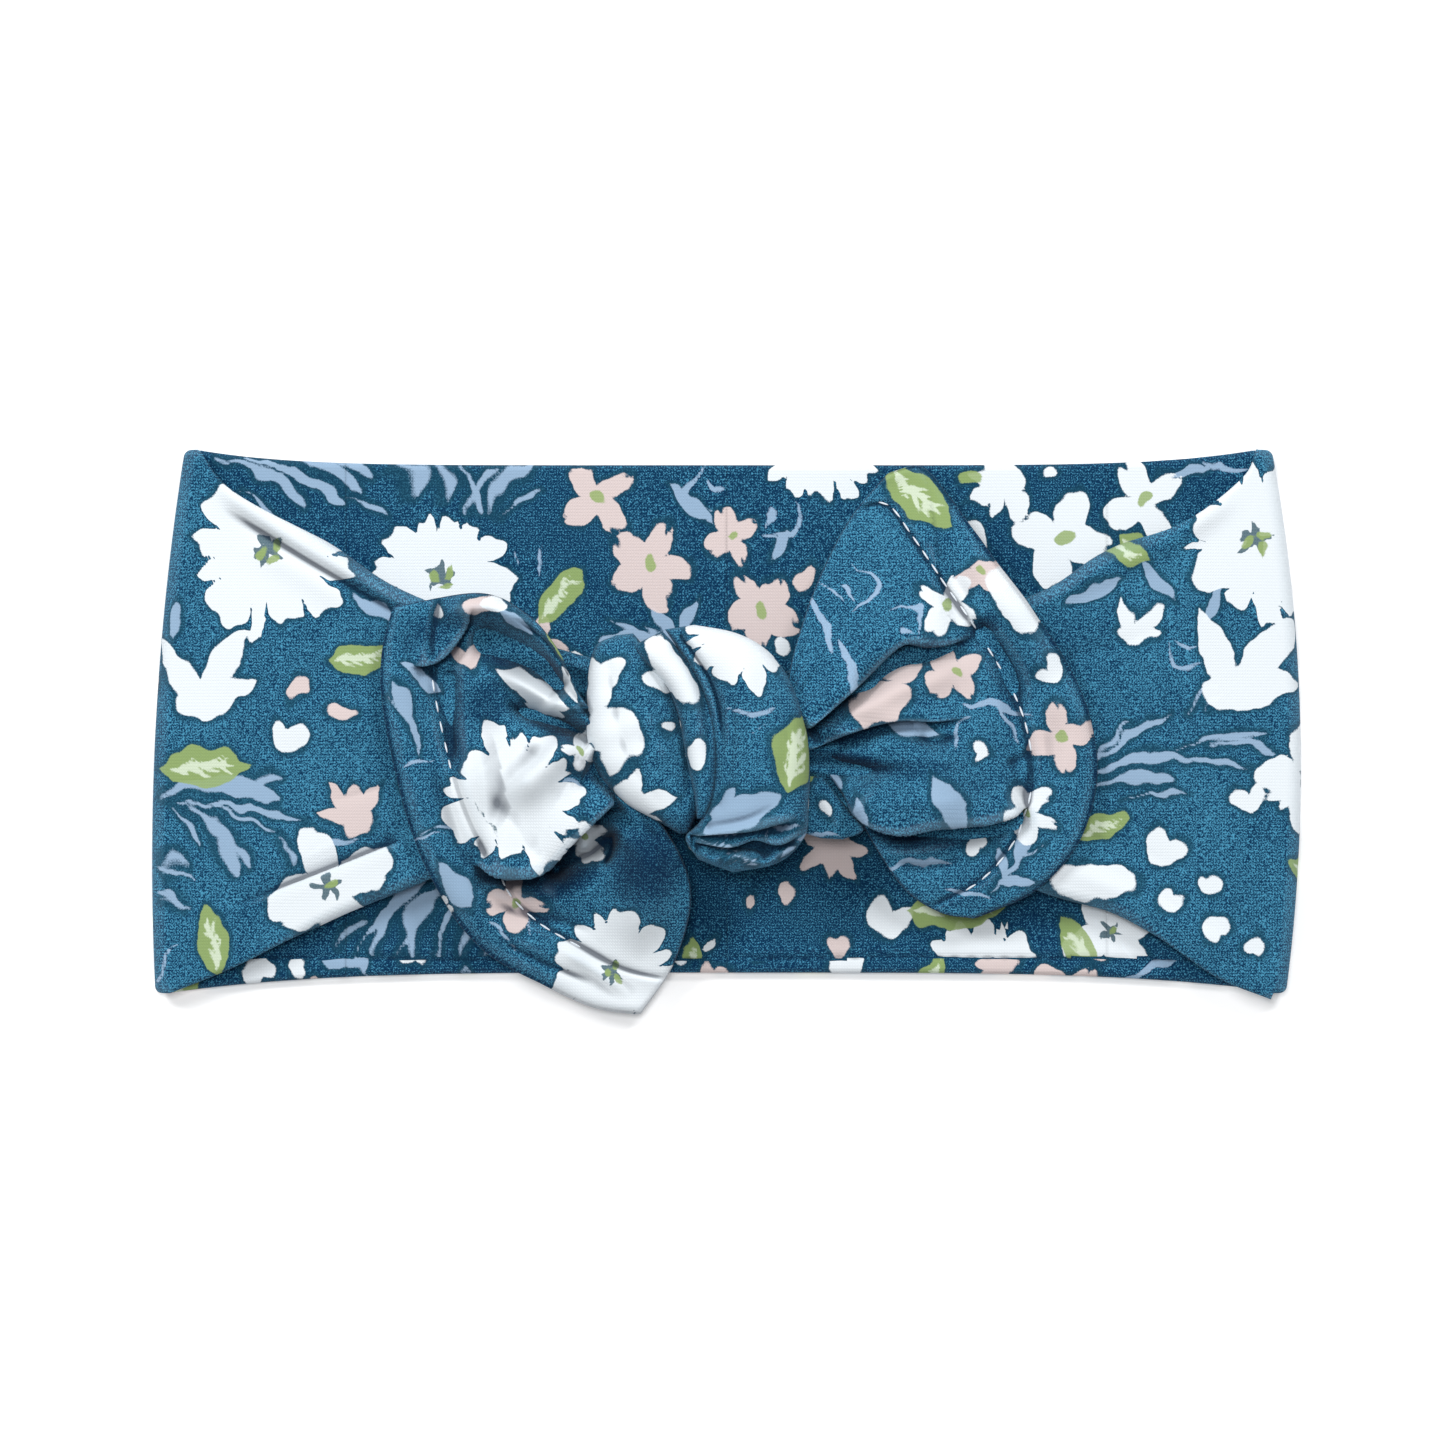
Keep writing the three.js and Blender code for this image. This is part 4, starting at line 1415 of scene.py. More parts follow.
    def back_half(self, side: Side) -> bpy.types.Object:
        """The sheet from the centre of the back to where the side sheet takes over."""
        across = edged(self.columns, self.width)
        along = np.linspace(0.0, self.join, int(self.join / self.pitch))
        tongue = 0.4  # runs on inside the sheet that it meets
        start = [-tongue, -0.02] if side.sign < 0.0 else []
        along = np.concatenate([start, along, [self.join + 0.02, self.join + tongue]]) * side.sign
        x, share = np.meshgrid(along, across, indexing="ij")
        hidden = 0.06 * ((np.abs(x) > self.join) | (x * side.sign < 0.0))
        y = mixed(self.chin(x) + hidden, self.crown(x) - hidden, share)
        full = rounding(share, self.width) * (self.back_thickness / 2.0 - hidden)
        middle = self.back_thickness / 2.0
        top = np.stack([x, y, middle + full + self.inner_relief(x, y) * ease(0.0, 0.6, full)], axis=-1)
        bottom = np.stack([x, y, middle - full], axis=-1)
        below = np.stack([self.outer_place(side, x, y), y], axis=-1)
        return mesh_of(
            f"back_{side.name}_cloth",
            self.inner_face(top, np.stack([x, y], axis=-1)),
            faced(bottom, below, self.outer),
            self.cloth,
            joined=True,
        )

    def side_sheet(self, side: Side) -> bpy.types.Object:
        """The sheet from the back run round the side fold and along the wing to the knot."""
        share = edged(self.columns, self.width)
        rim_fill = rounding(share, self.width)
        low_x, high_x = self.fold_ends
        y_fold = mixed(self.chin(np.array(low_x)), self.crown(np.array(high_x)), share)
        turn_x = side.fold_line(y_fold)
        outside, inside, out_cloth, in_cloth = [], [], [], []
        half_back, half_wing = self.back_thickness / 2.0, self.wing_thickness / 2.0
        # Back run, towards the fold.
        steps = int((self.back_run - self.join) / self.pitch)
        for walk in np.linspace(0.0, 1.0, steps, endpoint=False):
            x = mixed(np.full(share.shape, side.sign * self.join), turn_x, walk)
            y = mixed(self.chin(x), self.crown(x), share)
            thick = half_back * rim_fill
            relief = self.inner_relief(x, y) * ease(0.0, 0.6, thick) * (1.0 - walk**3)
            outside.append(np.stack([x, y, half_back - thick], axis=-1))
            inside.append(np.stack([x, y, half_back + thick + relief], axis=-1))
            out_cloth.append(np.stack([self.outer_place(side, x, y), y], axis=-1))
            in_cloth.append(np.stack([x, y], axis=-1))
        # Round the fold.
        radius = (self.wing_lift - half_back) / 2.0
        centre = (self.wing_lift + half_back) / 2.0
        for angle in np.linspace(0.0, np.pi, self.bend_rows)[:-1]:
            thick = mixed(half_back, half_wing, angle / np.pi) * rim_fill
            for reach, points in ((radius + thick, outside), (radius - thick, inside)):
                x = turn_x + side.sign * reach * np.sin(angle)
                points.append(np.stack([x, y_fold, centre - reach * np.cos(angle)], axis=-1))
            out_x = turn_x + side.sign * side.depth * (np.pi - angle)
            out_cloth.append(np.stack([out_x, y_fold], axis=-1))
            in_cloth.append(np.stack([turn_x + side.sign * 0.6 * angle, y_fold], axis=-1))
        # Along the wing.
        for walk in np.linspace(0.0, 1.0, int(self.longest_edge / self.pitch)):
            self.wing_row(side, float(walk), share, rim_fill, turn_x, (outside, inside, out_cloth, in_cloth))
        outer_points, inner_points = np.stack(outside), np.stack(inside)
        return mesh_of(
            f"front_{side.name}_cloth",
            faced(outer_points, np.stack(out_cloth), self.outer),
            self.inner_face(inner_points, np.stack(in_cloth)),
            self.cloth,
            joined=True,
        )

    def wing_row(
        self,
        side: Side,
        walk: float,
        share: np.ndarray,
        rim_fill: np.ndarray,
        turn_x: np.ndarray,
        rows: tuple[list, list, list, list],
    ) -> None:
        """Adds one row across the wing, with its edges rolled under where it narrows."""
        chin, crown = side.chin_edge.at(np.array(walk)), side.crown_edge.at(np.array(walk))
        width = float(np.linalg.norm(crown - chin))
        extra = self.tucked * float(ease(0.1, 0.6, np.array(walk)))
        inset = self.roll * np.sin(min(extra / self.roll, np.pi / 2))
        straight = width - 2.0 * inset
        q = share * (straight + 2.0 * extra) - extra  # 0 to straight is the open part
        past = np.maximum(np.maximum(-q, q - straight), 0.0)
        end = np.where(q < straight / 2.0, -1.0, 1.0)
        bent = np.minimum(past / self.roll, np.pi)
        under = np.maximum(past - np.pi * self.roll, 0.0)
        out = self.roll * np.sin(bent) - under
        drop = self.roll * (1.0 - np.cos(bent))
        place = np.clip(q, 0.0, straight) + end * out * (past > 0.0) + inset
        direction = (crown - chin) / width
        x = chin[0] + direction[0] * place
        y = chin[1] + direction[1] * place
        across_share = np.clip(place / width, 0.0, 1.0)
        chin_x, crown_x = side.chin_edge.at(np.array(0.0))[0], side.crown_edge.at(np.array(0.0))[0]
        start_x = mixed(chin_x, crown_x, across_share)
        x = x + (turn_x - start_x) * (1.0 - walk) ** 2
        z = self.wing_lift + self.wing_rise * walk - drop
        middle = np.stack([x, y, z], axis=-1)
        up = np.cos(bent)
        middle = crinkled(middle, side.folds, ease(0.0, 0.12, np.array(walk)) * np.clip(up, 0.0, 1.0))
        gathers = self.gathers * ease(0.45, 0.95, np.array(walk))
        pleats = np.sin(share * 46.0 + 0.6 * np.sin(share * 17.0)) * gathers
        middle[..., 2] += pleats * np.clip(up, 0.0, 1.0)
        middle[..., 2] += self.slack * ripple(x, y, 22.0, 7) * ease(0.0, 0.2, np.array(walk))
        lean = end * np.sin(bent) * (past > 0.0)
        normal = np.stack([direction[0] * lean, direction[1] * lean, up], axis=-1)
        thick = (self.wing_thickness / 2.0 * rim_fill)[:, None]
        outside, inside, out_cloth, in_cloth = rows
        outside.append(middle + normal * thick)
        inside.append(middle - normal * thick)
        flat_y = chin[1] + (q + inset)
        out_cloth.append(np.stack([x, flat_y], axis=-1))
        beyond = 2.0 * turn_x + side.sign * self.print_step - x
        in_cloth.append(np.stack([beyond, flat_y], axis=-1))

    def build(self) -> list[bpy.types.Object]:
        """Makes the four sheets and hides the frame's parts that they stand for."""
        layers = ("outer_layer", "inner_layer", "seam_allowance")
        pieces = []
        for side in self.sides:
            back = self.back_half(side)
            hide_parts(*(f"back_{side.name}_{layer}" for layer in layers))
            pivot = pivot_of(f"back_{side.name}")
            reach = 0.006  # on each side of the pivot, in metres
            pivot[0] - side.sign * reach
            pivot[0] + side.sign * reach
            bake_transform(back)
            self.tube_width * MM
            self.join * MM
            front = self.side_sheet(side)
            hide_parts(f"front_{side.name}_outer_layer", f"front_{side.name}_inner_layer")
            low, high = self.back_thickness * MM, (self.wing_lift - self.wing_thickness / 2.0) * MM
            pivot = pivot_of(f"front_{side.name}")
            inset = 0.0001  # in metres
            low + inset
            high - inset
            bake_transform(front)
            length = (self.back_run - self.join + self.fold_run + self.wing_run) * MM
            self.tube_width * MM
            pieces.extend([back, front])
        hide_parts(*(f"back_centre_{layer}" for layer in layers))
        return pieces


# ---------------------------------------------------------------------------------------------
# The knot
# ---------------------------------------------------------------------------------------------


@dataclass
class Bundle:
    """A rounded bundle of gathered cloth over an outline in plan, given by its two sides."""

    name: str
    left: Path
    right: Path
    foot: float  # Z at its lower side, where it meets the cloth under it
    crest: float  # Z at its top
    folds: list[Crinkle]
    ends: float = 0.5  # how squarely the bundle turns down at its two ends
    sides: float = 0.55  # and at its two sides
    waist: float = 0.0  # share of its height at which it is widest
    belly: float = 1.5  # how far it swells below its foot
    tilt: float = 0.0  # how much higher its right side stands than its left
    pitch: float = 0.4  # grid spacing
    wrinkle: float = 0.22  # unevenness of the cloth

    def build(self, canvas: Canvas, spare: Canvas, cloth: bpy.types.Material) -> bpy.types.Object:
        """Makes the bundle's mesh.

        Args:
            canvas: the print of its upper face.
            spare: the print of its under face.
            cloth: its material.

        Returns:
            The new object.
        """
        left, right = Line(self.left), Line(self.right)
        stations = np.linspace(0, 1, 9)
        span = float(np.linalg.norm(left.at(stations) - right.at(stations), axis=1).max())
        rows, columns = int(1.35 * left.length / self.pitch), int(1.5 * span / self.pitch)
        u = np.linspace(0.0, 1.0, rows)
        v = np.linspace(0.0, 1.0, columns)
        u_place, v_place = 0.5 - 0.5 * np.cos(np.pi * u), 0.5 - 0.5 * np.cos(np.pi * v)
        start, end = left.at(u_place)[:, None, :], right.at(u_place)[:, None, :]
        plan = mixed(start, end, v_place[None, :, None])
        dome = np.sin(np.pi * u)[:, None] ** self.ends * np.sin(np.pi * v)[None, :] ** self.sides
        lean = 1.0 + self.tilt * (v_place[None, :] - 0.5)
        x, y = plan[..., 0], plan[..., 1]
        rim_level = self.foot + (self.crest - self.foot) * self.waist
        top = np.stack([x, y, rim_level + (self.crest - rim_level) * dome * lean], axis=-1)
        top = crinkled(top, self.folds, np.clip(dome * 1.6, 0.0, 1.0))
        top[..., 2] += self.wrinkle * ripple(x, y, 6.5, len(self.name)) * dome
        bottom = np.stack([x, y, rim_level - (rim_level - self.foot + self.belly) * dome], axis=-1)
        rim = dome < 1e-6
        bottom[rim] = top[rim]
        upper, lower = faced(top, wrapped(top), canvas), faced(bottom, wrapped(bottom), spare)
        return mesh_of(self.name, upper, lower, cloth)


@dataclass
class KnotCloth:
    """The knot: a left turn and a middle fold, a front turn over them, and what they hide."""

    cloth: bpy.types.Material

    def bundles(self) -> dict[str, Bundle]:
        """The knot's bundles, by the frame's node that each stands for."""
        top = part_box("knot_front_turn")[1][2] / MM
        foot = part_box("knot_left_turn")[0][2] / MM
        return {
            "knot_left_turn": Bundle(
                "knot_left_turn_cloth",
                [(-17.4, 15.6), (-20.6, 13.6), (-21.9, 7), (-21.9, 0.5), (-20.5, -5.2), (-16, -10.4),
                 (-10.4, -13.6), (-7.4, -15.4)],
                [(-14.6, 15.9), (-11.6, 12.6), (-8.6, 8.6), (-6.8, 3.8), (-5.6, -1.2), (-4.4, -5.3),
                 (-3.8, -9.9), (-5.9, -15.4)],
                foot,
                top - 3.6,
                [
                    Crinkle(Fold.CREASE, [(-18.6, 12.5), (-17.2, 4), (-15, -4), (-9, -12.5)], 0.4, 0.8, 1.2),
                    Crinkle(Fold.RIDGE, [(-15.4, 13), (-13, 8), (-11.6, 1.5), (-8, -7)], 0.6, 1.6, 1.6),
                    Crinkle(Fold.CREASE, [(-6, -4), (-6.2, -8.6), (-7.4, -12.6)], 0.6, 0.7, 1.0),
                ],
                ends=0.56,
                sides=0.62,
                waist=0.42,
                wrinkle=0.12,
            ),
            "knot_middle_fold": Bundle(
                "knot_middle_fold_cloth",
                [(-14.4, 14), (-12.9, 11.6), (-9.6, 8), (-7.7, 3.8), (-6.7, -1.2), (-5.9, -5.3), (-5, -9.4),
                 (-4.6, -13)],
                [(-10, 16.2), (-7.8, 13.8), (-5.2, 10.6), (-3, 6.2), (-1.7, 1.4), (-1.4, -3.4),
                 (-1.8, -8.4), (-3.2, -13)],
                top - 11.0,
                top - 1.9,
                [
                    Crinkle(Fold.CREASE, [(-8.6, 14.6), (-6, 11), (-3.8, 6.4), (-2.9, 1.4), (-2.7, -4)],
                            0.9, 0.4, 0.5),
                ],
                ends=0.5,
                sides=0.62,
                waist=0.4,
                pitch=0.33,
                wrinkle=0.08,
            ),
            "knot_front_turn": Bundle(
                "knot_front_turn_cloth",
                [(-9.6, 16.5), (-7.4, 13.2), (-4.9, 9), (-3.2, 4.4), (-2.4, -0.6), (-2.3, -5.3),
                 (-2.9, -9.9), (-4.2, -13.4), (-6.4, -16), (-4.4, -19.4)],
                [(-5, 17.2), (1.2, 16), (5.6, 13.8), (8.8, 10.4), (11.2, 5.4), (12.6, 0), (13, -5.6),
                 (12.8, -10.6), (12.2, -15.8), (8.2, -19.8), (1, -21.4)],
                foot,
                top - 0.2,
                [
                    Crinkle(Fold.CREASE, [(-7.6, 16), (-5, 12.6), (-2.5, 8.6), (-1.1, 4.2), (-0.6, -1),
                                          (-0.6, -5)], 1.5, 0.35, 0.5, fade=(0.05, 0.4)),
                    Crinkle(Fold.RIDGE, [(-8.6, 15.4), (-6.2, 12.2), (-3.7, 8.2), (-2.2, 3.6), (-1.7, -2)],
                            0.9, 0.8, 0.8, fade=(0.05, 0.4)),
                    Crinkle(Fold.LEDGE, [(-5.8, -15.4), (2, -14.9), (7.4, -13.9), (12.4, -12.6)],
                            3.0, 2.4, 1.6, 0.7, (0.02, 0.35)),
                    Crinkle(Fold.LEDGE, [(-5.2, -16.6), (0.6, -17.3), (4.4, -16.2), (8.2, -16.9),
                                         (12.6, -14.8)], 2.6, 1.6, 1.4, 0.7, (0.05, 0.2)),
                    Crinkle(Fold.RIDGE, [(-4.6, -17.6), (-2.2, -19.4), (1.8, -18.6), (5.6, -20),
                                         (8.6, -18.4), (11.6, -18)], 1.8, 0.7, 0.9, fade=(0.1, 0.1)),
                    Crinkle(Fold.CREASE, [(-1.6, -20.6), (0.2, -18.6), (3.4, -17.4), (7.4, -18.6)],
                            1.4, 0.5, 0.6, fade=(0.1, 0.2)),
                    Crinkle(Fold.CREASE, [(-3.6, -13.8), (3, -12.6), (8.6, -9.8)],
                            0.9, 0.6, 1.0, fade=(0.05, 0.6)),
                    Crinkle(Fold.CREASE, [(6.6, 12.8), (8.6, 5), (9.2, -3), (8, -11)],
                            0.5, 1.0, 1.6, fade=(0.3, 0.3)),
                    Crinkle(Fold.RIDGE, [(1.6, 12), (3.6, 4), (3.8, -6), (2, -13)],
                            0.5, 2.0, 2.0, fade=(0.2, 0.3)),
                    Crinkle(Fold.CREASE, [(0.4, 9), (1.2, 2), (0.6, -6), (-1.6, -12.4)],
                            0.5, 0.5, 0.9, fade=(0.3, 0.1)),
                ],
                ends=0.5,
                sides=0.5,
                waist=0.42,
                wrinkle=0.14,
            ),
            "knot_lower_tuck": Bundle(
                "knot_lower_tuck_cloth",
                [(12.9, -6.4), (12, -9), (11.6, -12), (11.6, -14.8), (14.6, -16.1)],
                [(15, -6.6), (17.4, -9.6), (19.6, -12.4), (21.4, -14.9), (18.2, -16.3)],
                10.2,
                12.3,
                [Crinkle(Fold.RIDGE, [(13.6, -7.2), (15.6, -11), (18, -15.4)], 0.6, 0.8, 1.2)],
                belly=0.5,
                pitch=0.35,
                wrinkle=0.05,
            ),
            "knot_core": Bundle(
                "knot_core_cloth",
                [(-5, 10.2), (-11, 7.4), (-14, 1), (-12.6, -5.6), (-6, -10.2)],
                [(-1, 10.2), (5.4, 7.4), (8, 0.6), (6.8, -5.8), (0, -10.2)],
                6.6,
                10.8,
                [
                    Crinkle(Fold.CREASE, [(-12, 4), (-3, 2), (6, 5)], 0.8, 0.8, 0.8),
                    Crinkle(Fold.CREASE, [(-12, -4), (-3, -1), (6, -5)], 0.8, 0.8, 0.8),
                ],
                belly=3.9,
            ),
        }

    def build(self) -> list[bpy.types.Object]:
        """Makes the knot's bundles and ties them to the frame."""
        prints = {
            "knot_left_turn": Artwork.knot_left(),
            "knot_middle_fold": Artwork.knot_left(),
            "knot_front_turn": Artwork.knot_right(),
            "knot_lower_tuck": Artwork.knot_right(),
        }
        spare = Artwork.spare()
        pieces = []
        for node, bundle in self.bundles().items():
            piece = bundle.build(prints.get(node, spare), spare, self.cloth)
            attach(piece, "knot")
            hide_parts(node)
            pieces.append(piece)
        return pieces


# ---------------------------------------------------------------------------------------------
# The tails
# ---------------------------------------------------------------------------------------------


@dataclass
class Tail:
    """One tail: a double sheet that fans out from the knot to a turned, topstitched hem."""

    name: str
    chin_side: Line  # from the knot to the hem, points as x, y, z
    crown_side: Line
    throat: Line  # from the chin side to the crown side
    mouth: Line
    folds: list[Crinkle]
    canvas: Canvas
    flat: tuple[float, float]
    stitched: Sequence[Point]  # shares of the hem between which the topstitching shows
    dusk: Sequence[Sequence[float]] = ()  # painted shade in hollows: X, Y, two radii, turn in degrees, darkness
    thickness: float = 1.7
    hem: float = 7.0  # depth of the turned hem
    pitch: float = 0.36  # grid spacing
    rim_lift: float = 1.0  # how far the mouth curls up
    gathers: float = 0.45  # height of the pleats at the throat
    slack: float = 0.12  # unevenness of the cloth
    hem_rise: float = 0.45  # of the doubled cloth over the single
    groove: float = 0.5  # depth of the line that the topstitching pulls in
    lip: Point = (1.6, 0.8)  # width and drop of the rounded edge of the mouth
    edge_shade: float = 0.8

    def patch(self, u: np.ndarray, v: np.ndarray) -> np.ndarray:
        """The smooth sheet between the four borders."""
        chin, crown = self.chin_side.at(u), self.crown_side.at(u)
        throat, mouth = self.throat.at(v), self.mouth.at(v)
        sides = mixed(chin, crown, v[..., None])
        ends = mixed(throat, mouth, u[..., None])
        near = mixed(self.chin_side.at(np.zeros(1)), self.crown_side.at(np.zeros(1)), v[..., None])
        far = mixed(self.chin_side.at(np.ones(1)), self.crown_side.at(np.ones(1)), v[..., None])
        return sides + ends - mixed(near, far, u[..., None])

    def grid(self) -> tuple[np.ndarray, np.ndarray]:
        """Shares along and across the sheet, closer together near its edges."""
        columns = edged(int(self.mouth.length / self.pitch), self.mouth.length)
        rows = np.linspace(0.0, 1.0, int(0.5 * (self.chin_side.length + self.crown_side.length) / self.pitch))
        return np.meshgrid(rows, columns, indexing="ij")

    def build(self, cloth: bpy.types.Material, spare: Canvas) -> tuple[bpy.types.Object, list[Line]]:
        """Makes the tail's cloth.

        Args:
            cloth: its material.
            spare: the print of its under face.

        Returns:
            The new object, and the lines of its topstitching.
        """
        u, v = self.grid()
        plain = self.patch(u, v)
        reach = 0.5 * (self.chin_side.length + self.crown_side.length)
        to_hem = (1.0 - u) * reach  # distance from the mouth
        top = crinkled(plain, self.folds, 1.0)
        pleats = np.sin(v * 40.0 + np.sin(v * 13.0)) * self.gathers
        pleats = pleats * (1.0 - ease(0.0, 0.4, u)) * ease(0.0, 0.05, u)
        top[..., 2] += pleats + self.slack * ripple(plain[..., 0], plain[..., 1], 8.0, 5)
        band = ease(self.hem + 0.5, self.hem - 1.0, to_hem)
        groove = np.exp(-(((to_hem - self.hem - 0.1) / 0.55) ** 2))
        lip_width, lip_drop = self.lip
        rolled = np.sqrt(1.0 - (1.0 - np.clip(to_hem / lip_width, 0.0, 1.0)) ** 2)
        top[..., 2] += self.hem_rise * band - self.groove * groove - lip_drop * (1.0 - rolled)
        top[..., 2] += self.rim_lift * ease(self.hem, 0.0, to_hem) ** 2
        width = self.mouth.length
        full = rounding(v, width, 1.1)
        low = calmed(top[..., 2], 6) - self.thickness * (1.0 - 0.25 * groove)
        middle = 0.5 * (top[..., 2] + low)
        top[..., 2] = mixed(middle, top[..., 2], full)
        under_plan, under_height = mixed(plain, top, 0.5)[..., :2], mixed(middle, low, full)
        bottom = np.concatenate([under_plan, under_height[..., None]], axis=-1)
        bottom[full <= 0.0] = top[full <= 0.0]
        plan = plain[..., :2]
        upper, lower = faced(top, plan, self.canvas), faced(bottom, plan, spare)
        upper, lower = self.mouthed(upper, lower)
        lips = len(upper.points) - len(plain)
        # Painted shade in the deep hollows and along the tail's edges.
        upper.dusk = np.maximum(self.darkness(upper.cloth), self.shaded_edge(upper.cloth, lips))
        lower.dusk = self.shaded_edge(lower.cloth, lips)
        piece = mesh_of(f"{self.name}_tail_cloth", upper, lower, cloth)
        row = int(np.argmin(np.abs(to_hem[:, 0] - self.hem)))
        lines = []
        for first, last in self.stitched:
            chosen = np.linspace(first, last, 50)
            axes = [np.interp(chosen, v[row], top[row, :, k]) for k in range(3)]
            lines.append(Line(np.stack(axes, axis=-1).tolist()))
        return piece, lines

    def shaded_edge(self, plan: np.ndarray, lips: int) -> np.ndarray:
        """The thin line of painted shade round the tail, lips being the rows of its rounded mouth."""
        shade = np.zeros(plan.shape[:2])
        shade[-(lips + 1) :] = self.edge_shade
        shade[:, :3] = self.edge_shade
        shade[:, -3:] = self.edge_shade
        return shade

    def darkness(self, plan: np.ndarray) -> np.ndarray:
        """How much painted shade the tail's deep hollows get at places in plan."""
        total = np.zeros(plan.shape[:2])
        for x, y, long, short, turn, amount in self.dusk:
            depth = oval(plan[..., 0], plan[..., 1], (x, y), (long, short), turn) / min(long, short)
            total = np.maximum(total, amount * ease(0.0, 0.75, depth))
        return total

    def mouthed(self, upper: Face, lower: Face) -> tuple[Face, Face]:
        """Rounds the two lips of the mouth, and takes the slit between them inwards."""
        top, bottom = upper.points[-1], lower.points[-1]
        out = upper.points[-1] - upper.points[-4]
        out[..., 2] = 0.0
        out /= np.maximum(np.linalg.norm(out, axis=-1, keepdims=True), 1e-6)
        half = 0.5 * (top - bottom)
        middle = 0.5 * (top + bottom)
        gape = np.linalg.norm(half, axis=-1, keepdims=True)
        slit, depth = 0.06, 2.6
        top_rows, bottom_rows = [], []
        turns = [(angle, 0.0) for angle in np.linspace(0.0, np.pi, 7)[1:]]
        for angle, inward in [*turns, (np.pi, 0.5), (np.pi, 1.0)]:
            share = slit + (1.0 - slit) * (0.5 + 0.5 * np.cos(angle))
            shift = out * (0.42 * np.sin(angle) * gape - depth * inward * np.minimum(1.0, gape * 2))
            top_rows.append(middle + half * share + shift)
            bottom_rows.append(middle - half * share + shift)
        return grown(upper, np.stack(top_rows)), grown(lower, np.stack(bottom_rows))


